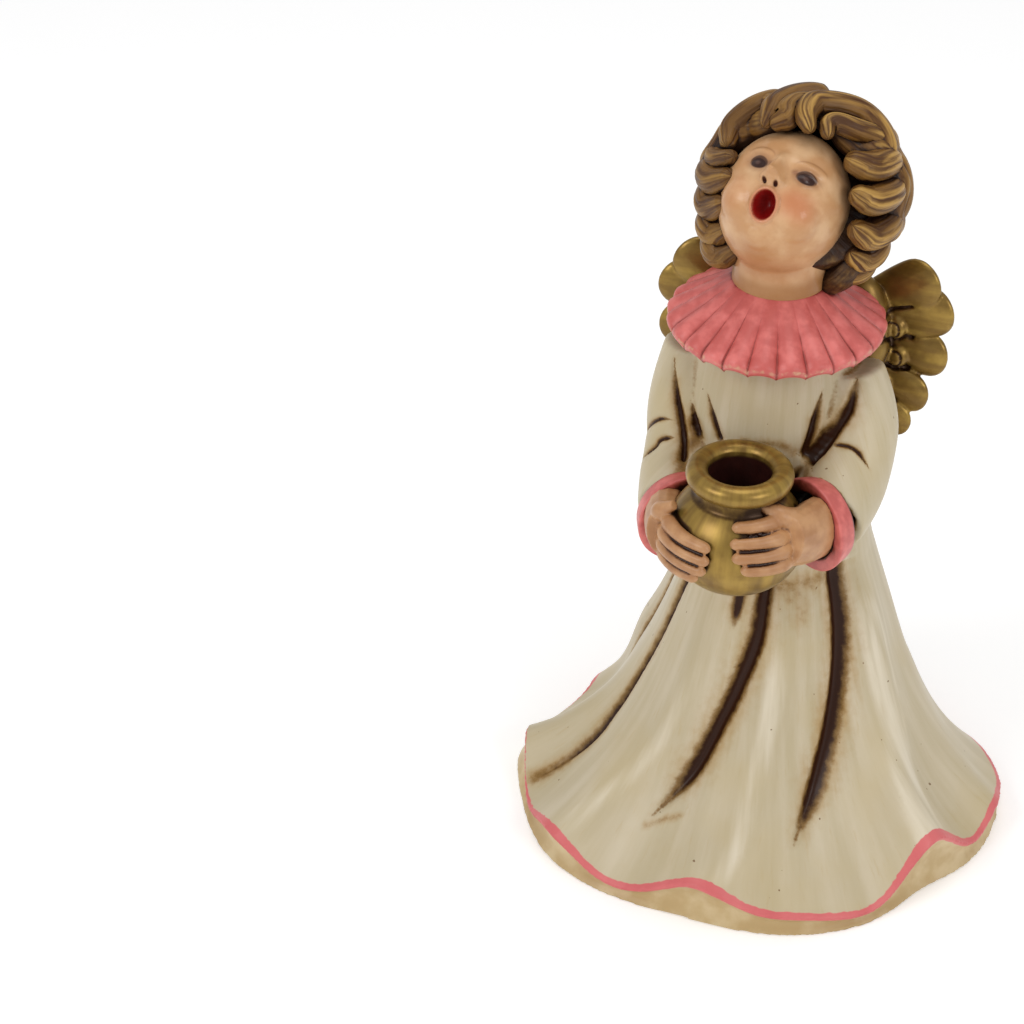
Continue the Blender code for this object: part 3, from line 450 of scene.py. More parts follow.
def hem_line(angle):
    """Height of the painted hem line above the table."""
    return 0.40 * HEM_HEIGHT + sum(
        height * bell(between(angle, at), width) for at, height, width in HEM_HUMPS
    )


def hem_swell(angle):
    """Change of the outline's radius: the skirt spreads in front and is drawn in behind."""
    behind = ease(abs(between(angle, HEM_FRONT_TURN)), 84.0, 118.0)
    swell = sum(change * bell(between(angle, at), width) for at, change, width in HEM_SWELLS)
    return swell - HEM_BACK_DRAW_IN * behind


def bell_radius(height):
    """Mean radius of the skirt between the hem and the waist."""
    drop = np.clip((WAIST_HEIGHT - height) / (WAIST_HEIGHT - HEM_HEIGHT), 0.0, 1.0)
    flare = BELL_SLOPE * drop + (1.0 - BELL_SLOPE) * drop**BELL_CURL
    return WAIST_RADIUS + (HEM_RADIUS - WAIST_RADIUS) * flare


# Sections of the robe up to the collar: height, half width, half depth and share of the body's lean
BODY_STATIONS = (
    (WAIST_HEIGHT, WAIST_RADIUS, WAIST_RADIUS, 0.0),
    (BELT_HEIGHT, BELT_HALF_WIDTH, BELT_HALF_DEPTH, 0.5),
    (CHEST_HEIGHT, CHEST_HALF_WIDTH, CHEST_HALF_DEPTH, 1.0),
    (SHOULDER_HEIGHT, SHOULDER_HALF_WIDTH, SHOULDER_HALF_DEPTH, 1.0),
    (COLLAR_HEIGHT + 0.4 * COLLAR_RISE, NECK_RADIUS, NECK_RADIUS, 1.0),
)


def body_section(height):
    heights = [station[0] for station in BODY_STATIONS]
    return [np.interp(height, heights, [station[k] for station in BODY_STATIONS]) for k in (1, 2, 3)]


def fold_push(angle, height, radius):
    """How far the raised folds push the skirt out."""
    push = 0.0
    for path, rise, width in SKIRT_RIDGES:
        heights = [share * WAIST_HEIGHT for _, share in path][::-1]
        angles = [turn for turn, _ in path][::-1]
        away = np.radians(between(angle, np.interp(height, heights, angles))) * radius
        top = path[0][1] * WAIST_HEIGHT
        push = push + rise * (1.0 - ease(height, 0.75 * top, 1.15 * top)) * bell(away, width)
    return push


def on_robe(angle, height):
    radius = bell_radius(height) + fold_push(angle, height, bell_radius(height))
    turn = math.radians(angle)
    return Vector((radius * math.sin(turn), -radius * math.cos(turn), height))


def arm_points(side):
    """Shoulder, upper arm, elbow, forearm and wrist of one sleeve; side is +1 at +X."""
    drop = side * ARM_DROP
    middle_height = 0.5 * (SHOULDER_HEIGHT + ELBOW_HEIGHT) - 0.0025 + 0.5 * drop
    shapes = (
        (0.88 * ARM_SPREAD, 0.0000, SHOULDER_HEIGHT - 0.0045, 0.0),
        (0.97 * ARM_SPREAD, -0.0015, middle_height, 0.5),
        (0.94 * ARM_SPREAD, -0.0055, ELBOW_HEIGHT + drop, 1.0),
        (0.90 * ARM_SPREAD, -0.0130, ELBOW_HEIGHT - 0.0052 + drop, 1.0),
        (0.83 * ARM_SPREAD, -0.0200, ELBOW_HEIGHT - 0.0070 + drop, 1.0),
    )
    return [
        Vector((side * across + share * ARM_SHIFT, ahead, height)) + body_centre
        for across, ahead, height, share in shapes
    ]


def sleeve_way(side):
    """The direction in which a cuff faces."""
    return Vector((-side * 0.60, -0.80, 0.0))


top = COLLAR_HEIGHT + 0.4 * COLLAR_RISE
body_rows, skirt_rows, wall_rows = ROBE_ROWS
upper = [(body_section(h)[0], h) for h in np.linspace(top, WAIST_HEIGHT, body_rows)]
skirt = [(bell_radius(h), h) for h in np.linspace(WAIST_HEIGHT, HEM_HEIGHT, skirt_rows)[1:]]
wall = [(HEM_RADIUS, h) for h in np.linspace(HEM_HEIGHT, 0.0, wall_rows)[1:]]
robe = turned("robe", [(0.0, top)] + upper + skirt + wall + [(0.0, 0.0)], ROBE_TURN_STEPS)
points = places(robe)
x, y, z = points.T
radius = np.maximum(np.hypot(x, y), 1e-9)
angle = np.degrees(np.arctan2(x, -y))
line = hem_line(angle)
reach = ease(z, 0.0, 0.9 * WAIST_HEIGHT)
lifted = np.where(z > HEM_HEIGHT, z + (line - HEM_HEIGHT) * (1.0 - reach) ** 3, z * line / HEM_HEIGHT)
spread = hem_swell(angle) * (1.0 - ease(z, 0.0, 0.5 * WAIST_HEIGHT))
tuck = HEM_TUCK * np.sin(np.pi * np.clip(z / HEM_HEIGHT, 0.0, 1.0)) * (z < HEM_HEIGHT)
push = fold_push(angle, z, radius)
low_radius = radius + spread - tuck + push * ease(z, 0.0, 2 * HEM_HEIGHT)
half_width, half_depth, lean = body_section(z)
above = z >= WAIST_HEIGHT
new_x = np.where(above, x / radius * (radius + push) + lean * body_centre.x, x / radius * low_radius)
new_y = np.where(
    above,
    y / radius * (radius * half_depth / half_width + push) + lean * body_centre.y,
    y / radius * low_radius,
)
on_axis = radius < 1e-6
new_x[on_axis] = x[on_axis] + np.where(above[on_axis], body_centre.x, 0.0)
new_y[on_axis] = y[on_axis] + np.where(above[on_axis], body_centre.y, 0.0)
put_places(robe, np.stack([new_x, new_y, np.where(above | on_axis, z, lifted)], axis=1))

sleeve_radii = (
    0.75 * UPPER_ARM_RADIUS, UPPER_ARM_RADIUS, FOREARM_RADIUS, 1.03 * FOREARM_RADIUS,
    CUFF_RADIUS - 0.0012,
)
sleeves = [tube(f"sleeve_{side}", arm_points(side), sleeve_radii, detail=14) for side in SIDES]
true_skirt = BVHTree.FromObject(robe, bpy.context.evaluated_depsgraph_get())
robe = fused("robe", [robe] + sleeves, ROBE_VOXEL, ROBE_SMOOTHING)
points = places(robe)
for index in np.nonzero(points[:, 2] < SNAP_HEIGHT)[0]:
    spot = true_skirt.find_nearest(points[index])[0]
    share = 1.0 - ease(points[index, 2], 0.8 * SNAP_HEIGHT, SNAP_HEIGHT)
    points[index] += share * (np.array(spot) - points[index])
put_places(robe, points)
shoulder = body_centre + Vector((0.0, 0.0, SHOULDER_HEIGHT))


def laid(skirt_paths, body_paths):
    """A table of the skirt and one of the body, with each path as points on the robe."""
    skirt = [([on_robe(a, s * WAIST_HEIGHT) for a, s in path], *sizes) for path, *sizes in skirt_paths]
    return skirt + [([shoulder + Vector(point) for point in path], *sizes) for path, *sizes in body_paths]


carve(robe, laid(SKIRT_GROOVES, BODY_CREASES), laid(SKIRT_WASH_AND_SHADE, BODY_WASH_AND_SHADE))

# The open end of each sleeve, pressed in round the wrist and painted dark as the shade inside it
points = places(robe)
groove_and_mouth_shade = noted(robe, "groove")
for side in SIDES:
    along = np.array(sleeve_way(side))
    from_wrist = points - np.array(arm_points(side)[-1])
    ahead = from_wrist @ along
    aside = np.linalg.norm(from_wrist - ahead[:, None] * along, axis=1)
    inside = 1.0 - ease(aside, CUFF_RADIUS - SLEEVE_MOUTH[0], CUFF_RADIUS - SLEEVE_MOUTH[1])
    inside *= ease(ahead, -0.0030, -0.0012)
    points -= (SLEEVE_RECESS * inside)[:, None] * along
    groove_and_mouth_shade = np.maximum(groove_and_mouth_shade, inside)
put_places(robe, points)
note(robe, "groove", groove_and_mouth_shade)

# How far each spot lies from the hem line, negative below it
points = places(robe)
hem_angles = np.arange(0.0, 360.0, 0.5)
edge = KDTree(len(hem_angles))
for index, at in enumerate(hem_angles):
    height = float(hem_line(at))
    swell = float(hem_swell(at)) * (1.0 - float(ease(HEM_HEIGHT, 0.0, 0.5 * WAIST_HEIGHT)))
    radius_there = HEM_RADIUS + swell
    turn = math.radians(at)
    edge.insert((radius_there * math.sin(turn), -radius_there * math.cos(turn), height), index)
edge.balance()
hem_gap = np.full(len(points), 0.02)
for index in np.nonzero(points[:, 2] < HEM_PAINT_TOP)[0]:
    hem_gap[index] = edge.find(points[index])[2]
angle = np.degrees(np.arctan2(points[:, 0], -points[:, 1]))
radius = np.hypot(points[:, 0], points[:, 1])
under = (points[:, 2] < hem_line(angle)) & (radius > FLOOR_RADIUS)
note(robe, "hem_gap", np.where(under, -hem_gap, hem_gap) * 1000.0)
# Painted highlight along the crests of the raised folds, standing in for the sheen of the varnish there
crest = fold_push(angle, points[:, 2], radius) / 0.0016
note(robe, "crest_highlight", ease(crest, 0.62, 1.0) * ease(points[:, 2], 0.006, 0.014))


def brushed_about(points, axis, closeness, length):
    """Where each vertex lies for brush strokes that run upwards about an axis, length in millimetres."""
    out = points[:, :2] - np.array(axis)[:2]
    out /= np.maximum(np.hypot(out[:, 0], out[:, 1]), 1e-5)[:, None]
    return np.column_stack([out * closeness, points[:, 2] * 1000.0 / length])


note(robe, "brush", brushed_about(points, (0.0, 0.0), 30.0, 9.0))


def linear(code):
    """An sRGB hex colour as the linear colour that a shader takes."""
    parts = [int(code[k : k + 2], 16) / 255.0 for k in (1, 3, 5)]
    return (*[c / 12.92 if c <= 0.04045 else ((c + 0.055) / 1.055) ** 2.4 for c in parts], 1.0)


def add(tree, kind, links=(), **settings):
    """One node with its settings; links are (input name or number, output socket or value)."""
    node = tree.nodes.new("ShaderNode" + kind)
    for name, value in settings.items():
        setattr(node, name, value)
    for key, value in links:
        if isinstance(value, bpy.types.NodeSocket):
            tree.links.new(value, node.inputs[key])
        else:
            node.inputs[key].default_value = value
    return node


def kept(tree, name, vector=False):
    node = add(tree, "Attribute", attribute_name=name)
    return node.outputs["Vector" if vector else "Fac"]


def math_node(tree, operation, *values):
    return add(tree, "Math", list(enumerate(values)), operation=operation).outputs[0]


def window(tree, value, low, high):
    """0 below low, 1 above high and smooth in between."""
    links = [(0, value), (1, low), (2, high), (3, 0.0), (4, 1.0)]
    return add(tree, "MapRange", links, interpolation_type="SMOOTHSTEP").outputs[0]


def blend(tree, share, first, second):
    links = [(0, share), (6, first), (7, second)]
    return add(tree, "Mix", links, data_type="RGBA").outputs[2]


def grain(tree, place, scale, detail=4.0):
    """Noise between 0 and 1; scale is in cycles for each unit of the place."""
    return add(tree, "TexNoise", [(0, place), ("Scale", scale), ("Detail", detail)]).outputs[0]


def centred(tree, value, width):
    """A noise of 0 to 1 made one of this width about 0."""
    return math_node(tree, "MULTIPLY_ADD", value, width, -0.5 * width)


def inverse(tree, value):
    return math_node(tree, "SUBTRACT", 1.0, value)


def two_tone(tree, share, low, high, first, second):
    """Two colours of one paint, mixed softly where share lies between low and high."""
    return blend(tree, window(tree, share, low, high), linear(first), linear(second))


def over(tree, colour, share, strength, code):
    """The colour with another laid over it."""
    return blend(tree, math_node(tree, "MULTIPLY", share, strength), colour, linear(code))


def paint(name):
    """A new material with its tree, its shader and the Object coordinates of the piece in millimetres."""
    material = bpy.data.materials.new(name)
    material.use_nodes = True
    tree = material.node_tree
    shader = tree.nodes["Principled BSDF"]
    place = add(tree, "TexCoord").outputs["Object"]
    return material, tree, shader, add(tree, "Mapping", [(0, place), (3, (1000.0,) * 3)]).outputs[0]


def varnished(tree, shader, colour, roughness, ior):
    tree.links.new(colour, shader.inputs["Base Color"])
    shader.inputs["Roughness"].default_value = roughness
    shader.inputs["IOR"].default_value = ior


def bumped(tree, shader, height, strength, distance):
    links = [("Height", height), ("Strength", strength), ("Distance", distance)]
    tree.links.new(add(tree, "Bump", links).outputs[0], shader.inputs["Normal"])


def washed(tree, place, colour, film_code, wash_code, strength=1.0, brushed=None):
    """The colour with the wash in its hollows, and painted shade where a spot is shut in: a thin film
    round them, brown in them, dark in depth.

    brushed is the place that runs along the strokes, where the film was wiped off with a brush.
    """
    ragged = grain(tree, place, 0.55, 6.0)
    fine = grain(tree, place, 2.6, 3.0)
    wiped = grain(tree, brushed or place, 0.55, 5.0)
    broken = centred(tree, ragged, 0.46)
    broken = math_node(tree, "MULTIPLY_ADD", fine, 0.12, broken)
    broken = math_node(tree, "SUBTRACT", broken, 0.06)
    wash_and_shade = math_node(tree, "MAXIMUM", kept(tree, "groove"), kept(tree, "wash_and_shade"))
    film = math_node(tree, "MAXIMUM", math_node(tree, "MULTIPLY", kept(tree, "halo"), 0.75), wash_and_shade)
    film = math_node(tree, "ADD", film, centred(tree, wiped, 0.60))
    film_share = window(tree, math_node(tree, "ADD", film, broken), 0.10, 0.95)
    depth = math_node(tree, "ADD", wash_and_shade, broken)
    uneven = math_node(tree, "ADD", depth, centred(tree, wiped, 0.24))
    brown_share = window(tree, depth, 0.16, 0.50)
    dark_share = window(tree, uneven, 0.40, 0.78)
    colour = over(tree, colour, film_share, 0.72 * strength, film_code)
    half_dark = blend(tree, 0.55, linear(wash_code), linear(film_code))
    colour = blend(tree, math_node(tree, "MULTIPLY", brown_share, 0.88 * strength), colour, half_dark)
    return over(tree, colour, dark_share, 0.97 * strength, wash_code)


BROWN_WASH = "#2c0f03"
TAN_WASH = "#a27a3a"

# Cream oil enamel, brushed on and antiqued with bitumen brown: streaks along the folds, a painted
# highlight along the crests of the raised folds, a satin varnish.
cream, tree, shader, place = paint("antiqued_cream_enamel")
strokes = kept(tree, "brush", True)
streaks = grain(tree, strokes, 0.30, 4.0)
fine_streaks = grain(tree, strokes, 2.0, 2.0)
clouds = grain(tree, place, 0.06, 3.0)
colour = two_tone(tree, streaks, 0.30, 0.75, "#b9ab8c", "#c7baa0")
colour = over(tree, colour, window(tree, clouds, 0.42, 0.75), 0.55, "#bcab85")
colour = over(tree, colour, window(tree, fine_streaks, 0.58, 0.80), 0.25, "#b39a6c")
# Painted highlight on the fold crests
crest_highlight_share = math_node(tree, "MULTIPLY", kept(tree, "crest_highlight"), window(tree, streaks, 0.25, 0.70))
colour = over(tree, colour, crest_highlight_share, 0.62, "#e4dac6")
specks = window(tree, grain(tree, place, 0.62, 1.0), 0.775, 0.80)
colour = over(tree, colour, specks, 0.8, "#6a4a28")
colour = washed(tree, place, colour, TAN_WASH, BROWN_WASH, 1.0, strokes)
gap = math_node(tree, "ADD", kept(tree, "hem_gap"), centred(tree, grain(tree, place, 0.45, 3.0), 0.8))
bare = two_tone(tree, grain(tree, place, 0.16, 4.0), 0.35, 0.7, "#b79d70", "#cbb68e")
colour = blend(tree, inverse(tree, window(tree, gap, -1.60, -1.25)), colour, bare)
above = inverse(tree, window(tree, gap, 1.55, 1.80))
in_line = math_node(tree, "MULTIPLY", window(tree, gap, -1.45, -1.20), above)
colour = blend(tree, in_line, colour, blend(tree, streaks, linear("#c4565a"), linear("#dc7d7c")))
varnished(tree, shader, colour, 0.36, 1.30)
bumped(tree, shader, fine_streaks, 0.10, 0.0002)

figure = []


def finished(obj, material):
    """Puts a piece at its place on the casting, smooth and painted."""
    obj.data.transform(Matrix.Translation(figure_place))
    obj.data.materials.clear()
    obj.data.materials.append(material)
    obj.data.shade_smooth()
    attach(obj, "root")
    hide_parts("angel_figure")
    figure.append(obj)
    return obj


finished(robe, cream)

# Cuffs. On the real one each is a turned-back band at the sleeve's end, modelled in the casting and
# painted rose, with brown left in the seam against the sleeve. The inside of the opening is painted dark
# as shade.
CUFF_THICKNESS = 0.0032
CUFF_BAND = 0.0050
CUFF_SQUARENESS = 0.34
CUFF_FLARE = 0.0007
CUFF_FORWARD = 0.34
CUFF_TURN_STEPS = 160

# Rose enamel, thinly brushed: a soft pink that goes from coral to a warmer red, with a satin shine.
rose, tree, shader, place = paint("rose_enamel")
colour = two_tone(tree, grain(tree, place, 0.35, 5.0), 0.35, 0.7, "#bd5a54", "#d8736c")
colour = washed(tree, place, colour, "#a3483c", BROWN_WASH)
varnished(tree, shader, colour, 0.40, 1.5)

for side, word in SIDES.items():
    half = 0.5 * CUFF_THICKNESS
    arc = [math.radians(a) for a in range(0, 360, 12)]
    profile = []
    for a in arc:
        out = math.copysign(abs(math.cos(a)) ** CUFF_SQUARENESS, math.cos(a))
        ahead = math.copysign(abs(math.sin(a)) ** CUFF_SQUARENESS, math.sin(a))
        flare = CUFF_FLARE * ahead
        profile.append((CUFF_RADIUS - half + half * out + flare, 0.5 * CUFF_BAND * ahead))
    cuff = turned(f"cuff_{word}", profile, CUFF_TURN_STEPS, closed=True)
    along = sleeve_way(side)
    middle = arm_points(side)[-1] + CUFF_FORWARD * CUFF_BAND * along
    facing = along.to_track_quat("Z", "Y").to_matrix().to_4x4()
    cuff.data.transform(Matrix.Translation(middle) @ facing)
    points = places(cuff)
    from_middle = points - np.array(middle)
    forward = from_middle @ np.array(along)
    aside = np.linalg.norm(from_middle - forward[:, None] * np.array(along), axis=1)
    # Painted shade on the inside of the opening
    opening_shade = 1.0 - ease(aside, CUFF_RADIUS - 0.8 * CUFF_THICKNESS, CUFF_RADIUS - 0.45 * CUFF_THICKNESS)
    seam = 0.9 * bell(forward + 0.5 * CUFF_BAND, 0.0006)
    note(cuff, "groove", np.maximum(opening_shade, seam))
    finished(cuff, rose)

# Collar. The real one is a pleated ruff: flat rounded pleats with a sharp crease between them, painted
# rose and edged with the cream of the robe.
COLLAR_RADIUS = 0.0225
COLLAR_THICKNESS = 0.0020
COLLAR_PLEATS = 24
PLEAT_DEPTH = 0.0014
PLEAT_ROUNDNESS = 0.55
EDGE_RISE = 0.0004
COLLAR_TURN_STEPS = 780
inner = NECK_RADIUS - 0.002
slope = COLLAR_RISE / (COLLAR_RADIUS - NECK_RADIUS)
half = 0.5 * COLLAR_THICKNESS
across_face = np.linspace(inner, COLLAR_RADIUS - half, 40)
face = [(r, COLLAR_HEIGHT + slope * (COLLAR_RADIUS - r)) for r in across_face]
rounded = []
for a in np.linspace(0.3, math.pi, 9):
    height = COLLAR_HEIGHT - half + half * math.cos(a) + EDGE_RISE * math.cos(a)
    rounded.append((COLLAR_RADIUS - half + half * math.sin(a), height))
under = [(r, h - COLLAR_THICKNESS - 0.35 * (COLLAR_RADIUS - r)) for r, h in face[::-1]]
collar = turned("collar", face + rounded + under, COLLAR_TURN_STEPS, closed=True)
points = places(collar)
radius = np.hypot(points[:, 0], points[:, 1])
turn = np.arctan2(points[:, 0], -points[:, 1])
share = ease(radius, NECK_RADIUS - 0.001, COLLAR_RADIUS)
uneven = 0.22 * np.sin(3.0 * turn + 0.6) + 0.15 * np.sin(5.0 * turn + 2.0)
pleat = np.abs(np.sin(0.5 * COLLAR_PLEATS * turn + uneven))
wave = pleat**PLEAT_ROUNDNESS - 0.75
points[:, 2] += PLEAT_DEPTH * share * wave
points[:, 0] += np.sin(turn) * 0.6 * PLEAT_DEPTH * share * wave
points[:, 1] -= np.cos(turn) * 0.6 * PLEAT_DEPTH * share * wave
points += np.array(body_centre)
put_places(collar, points)
note(collar, "groove", 0.55 * bell(pleat, 0.19) * ease(radius, NECK_RADIUS + 0.002, COLLAR_RADIUS))
note(collar, "halo", 0.7 * bell(pleat, 0.40) * ease(radius, NECK_RADIUS, COLLAR_RADIUS))
note(collar, "rim", (radius - COLLAR_RADIUS) * 1000.0)

# The same rose enamel, deeper red in the creases, with a thin edge of cream where the brush stopped.
ruff, tree, shader, place = paint("rose_enamel_with_cream_edge")
colour = two_tone(tree, grain(tree, place, 0.30, 5.0), 0.35, 0.7, "#bf5852", "#d8726c")
colour = washed(tree, place, colour, "#a8473f", "#6a221c", 0.95)
rim = math_node(tree, "ADD", kept(tree, "rim"), centred(tree, grain(tree, place, 0.8), 0.6))
colour = blend(tree, window(tree, rim, -0.08, 0.16), colour, linear("#c99a78"))
varnished(tree, shader, colour, 0.42, 1.5)
finished(collar, ruff)

# Pot. The real one is turned in the model with a rolled rim, bored for the candle, and painted with gold
# bronze powder in lacquer, worn bright where it is handled. Under the rim it is brown with the wash and
# with painted shade, and the lower half of the globe is painted darker as shade.
POT_HEIGHT = 0.0900
POT_RADIUS = 0.0143
POT_HALF_HEIGHT = 0.0125
POT_NECK_RADIUS = 0.0088
RIM_HEIGHT = 0.1042
RIM_THICKNESS = 0.0023
RIM_LAP = 0.0004
SOCKET_BORE = 0.0135
SOCKET_DEPTH = 0.0150
POT_TURN_STEPS = 192
rim_radius = 0.5 * SOCKET_BORE + RIM_THICKNESS - RIM_LAP
bore_floor = RIM_HEIGHT + RIM_THICKNESS - SOCKET_DEPTH
bore_radius = 0.5 * SOCKET_BORE
profile = [(0.0, bore_floor), (bore_radius - 0.0006, bore_floor), (bore_radius, bore_floor + 0.0006)]
profile += [(bore_radius, h) for h in np.linspace(bore_floor + 0.002, RIM_HEIGHT - 0.0005, 8)]
for a in range(160, -91, -8):
    turn = math.radians(a)
    height = RIM_HEIGHT + RIM_THICKNESS * math.sin(turn)
    profile.append((rim_radius + RIM_THICKNESS * math.cos(turn), height))
profile.append((POT_NECK_RADIUS, RIM_HEIGHT - RIM_THICKNESS - 0.0002))
for a in range(52, -91, -3):
    turn = math.radians(a)
    profile.append((max(0.0, POT_RADIUS * math.cos(turn)), POT_HEIGHT + POT_HALF_HEIGHT * math.sin(turn)))
profile[-1] = (0.0, profile[-1][1])
pot = turned("pot", profile, POT_TURN_STEPS)
pot.data.transform(Matrix.Translation(pot_axis))
points = places(pot)
radius = np.hypot(points[:, 0] - pot_axis.x, points[:, 1] - pot_axis.y)
in_bore = (radius < bore_radius + 0.0003) & (points[:, 2] > bore_floor - 0.0005)
in_bore &= points[:, 2] < RIM_HEIGHT + 0.0006
note(pot, "bore", in_bore.astype(float))
note(pot, "brush", brushed_about(points, pot_axis, 14.0, 7.0))
# Under the rolled rim: the wash, and painted shade of the rim; the lower globe painted darker as shade
under_rim_wash_and_shade = bell(points[:, 2] - (RIM_HEIGHT - RIM_THICKNESS - 0.0008), 0.0011) * (radius < 0.0118)
note(pot, "groove", 0.60 * under_rim_wash_and_shade)
by_bore = 0.55 * bell(radius - bore_radius, 0.0016) * (points[:, 2] > RIM_HEIGHT - 0.001)
lower_globe_shade = 0.55 * (1.0 - ease(points[:, 2], POT_HEIGHT - 0.011, POT_HEIGHT + 0.004))
neck_film_and_shade = 0.7 * bell(points[:, 2] - (RIM_HEIGHT - RIM_THICKNESS - 0.001), 0.0026) * (radius < 0.0135)
note(pot, "halo", np.maximum(np.maximum(by_bore, lower_globe_shade), neck_film_and_shade))

# Bronze powder in lacquer under a brown glaze: a dull gold with soft, streaky reflections, and a bare
# dark bore.
gold, tree, shader, place = paint("antiqued_gold_bronze_paint")
streaks = grain(tree, kept(tree, "brush", True), 0.34, 6.0)
clouds = grain(tree, place, 0.20, 5.0)
colour = two_tone(tree, streaks, 0.30, 0.72, "#826630", "#aa8b42")
colour = over(tree, colour, window(tree, clouds, 0.42, 0.72), 0.80, "#765a2a")
colour = washed(tree, place, colour, "#6a4c1e", "#2c1608", 0.9)
bare = blend(tree, grain(tree, place, 0.5, 4.0), linear("#1c0a08"), linear("#3c1a14"))
colour = blend(tree, kept(tree, "bore"), colour, bare)
tree.links.new(colour, shader.inputs["Base Color"])
metal_share = math_node(tree, "MULTIPLY", inverse(tree, kept(tree, "bore")), 0.62)
tree.links.new(metal_share, shader.inputs["Metallic"])
tree.links.new(math_node(tree, "MULTIPLY_ADD", streaks, 0.20, 0.24), shader.inputs["Roughness"])
bumped(tree, shader, streaks, 0.10, 0.0003)
finished(pot, gold)

# Hands. The real ones are modelled in the casting, wrapped round the pot, with a flesh enamel and the
# brown wash between the fingers.
FINGER_RADIUS = 0.0014
FINGER_PITCH = 0.0025
PALM_HALF_HEIGHT = 0.0075
PALM_HALF_THICKNESS = 0.0052
PALM_TURN = 25.0
FINGER_SHORT = (1.0, 0.0, 2.0, 9.0)
FINGER_TAPER = (1.3, 1.25, 1.2, 1.15, 1.1, 1.0, 0.95, 0.62, 0.06)
FINE_VOXEL = 0.00022
HAND_SMOOTHING = 5
# Angles from the front of the pot in degrees, heights over the middle of its globe, size as a share
HANDS = {
    1: {
        "tip": 13, "knuckle": 53, "top": 0.0088,
        "thumb_tip": 38, "thumb_height": 0.0122, "thumb_size": 1.0,
    },
    -1: {
        "tip": -11, "knuckle": -60, "top": 0.0046,
        "thumb_tip": -61, "thumb_height": 0.0082, "thumb_size": 0.9,
    },
}


def on_pot(angle, height, lift):
    """A point lifted off the pot's globe at an angle from the front."""
    rise = min(0.98, max(-0.98, (height - POT_HEIGHT) / POT_HALF_HEIGHT))
    radius = POT_RADIUS * math.sqrt(1.0 - rise * rise) + lift
    turn = math.radians(angle)
    return pot_axis + Vector((radius * math.sin(turn), -radius * math.cos(turn), height))


def ball(name, centre, radii, turn=None):
    """An ellipsoid."""
    bpy.ops.object.select_all(action="DESELECT")
    bpy.ops.mesh.primitive_uv_sphere_add(segments=64, ring_count=40, radius=1.0)
    obj = bpy.context.view_layer.objects.active
    obj.name = name
    size = Matrix.Diagonal((*radii, 1.0))
    obj.data.transform(Matrix.Translation(centre) @ (turn or Matrix.Identity(4)) @ size)
    return obj


# Flesh enamel, a warm tan with paler clouds, made brown between the fingers by the wash.
skin, tree, shader, place = paint("flesh_enamel_on_hands")
colour = two_tone(tree, grain(tree, place, 0.22, 4.0), 0.35, 0.7, "#a6754b", "#be8f63")
colour = washed(tree, place, colour, "#8a5a34", BROWN_WASH)
varnished(tree, shader, colour, 0.40, 1.5)

for side, grip in HANDS.items():
    wrist = arm_points(side)[-1]
    lift = 0.85 * FINGER_RADIUS
    pieces, gaps = [], []
    for finger in range(4):
        height = POT_HEIGHT + grip["top"] - finger * FINGER_PITCH
        short = FINGER_SHORT[finger] * side
        angles = np.linspace(grip["knuckle"], grip["tip"] + short, 6)
        line = [on_pot(at, height, lift) for at in angles]
        line.insert(0, line[0] + 0.35 * (wrist - line[0]))
        way = (line[-1] - line[-2]).normalized()
        line += [line[-1] + 0.7 * FINGER_RADIUS * way, line[-1] + 0.95 * FINGER_RADIUS * way]
        radii = [FINGER_RADIUS * share for share in FINGER_TAPER]
        pieces.append(tube(f"finger_{finger}", line, radii))
        if finger:
            gap_line = [on_pot(at, height + 0.5 * FINGER_PITCH, FINGER_RADIUS) for at in angles]
            gaps.append((gap_line, 0.00030, 0.0006, 0.5, 0.05))
    thumb_end = on_pot(grip["thumb_tip"], POT_HEIGHT + grip["thumb_height"], 1.8 * FINGER_RADIUS)
    knuckle = on_pot(grip["knuckle"] + 12 * side, POT_HEIGHT + grip["top"], 2.0 * FINGER_RADIUS)
    thumb_line = [knuckle + 0.5 * (wrist - knuckle), knuckle, 0.5 * (knuckle + thumb_end), thumb_end]
    thumb_size = grip["thumb_size"] * FINGER_RADIUS
    pieces.append(tube("thumb", thumb_line, [thumb_size * share for share in (2.0, 1.8, 1.3, 0.8)]))
    centre_height = POT_HEIGHT + grip["top"] - 1.5 * FINGER_PITCH
    back = on_pot(grip["knuckle"] + 6 * side, centre_height, 1.2 * FINGER_RADIUS)
    middle = 0.5 * (back + wrist)
    palm_turn = math.radians(PALM_TURN)
    outward = Vector((side * math.cos(palm_turn), -math.sin(palm_turn), 0.0))
    palm_line = [back, middle + 0.0012 * outward, wrist, wrist + 0.6 * (wrist - middle)]
    palm_radii = [PALM_HALF_HEIGHT * share for share in (0.72, 0.98, 0.86, 0.8)]
    palm = tube("palm", palm_line, palm_radii)
    middle_point = sum((Vector(point) for point in palm_line), Vector()) / len(palm_line)
    flatten = Matrix.Scale(PALM_HALF_THICKNESS / PALM_HALF_HEIGHT, 4, outward)
    palm.data.transform(Matrix.Translation(middle_point) @ flatten @ Matrix.Translation(-middle_point))
    pieces.append(palm)
    hand = fused(f"hand_{SIDES[side]}", pieces, FINE_VOXEL, HAND_SMOOTHING)
    carve(hand, gaps, halo_width=1.6)
    finished(hand, skin)

# Head and neck. The real face is pressed from the mould and finished by brush: flesh enamel, rouge on the
# cheeks, brown eyes and a red mouth, wide open in song, under a varnish that catches the light.
HEAD_HEIGHT = 0.1505
HEAD_HALF_WIDTH = 0.0130
HEAD_HALF_DEPTH = 0.0135
HEAD_HALF_LENGTH = 0.0145
HEAD_LOOK_UP = 40.0
HEAD_TURN = 4.5
HEAD_TILT = 8.0
MOUTH = (0.00, -0.27)
MOUTH_HALF_WIDTH = 0.175
MOUTH_HALF_LENGTH = 0.195
NOSE = (-0.02, 0.115)
EYES = ((-0.36, 0.255), (0.44, 0.255))
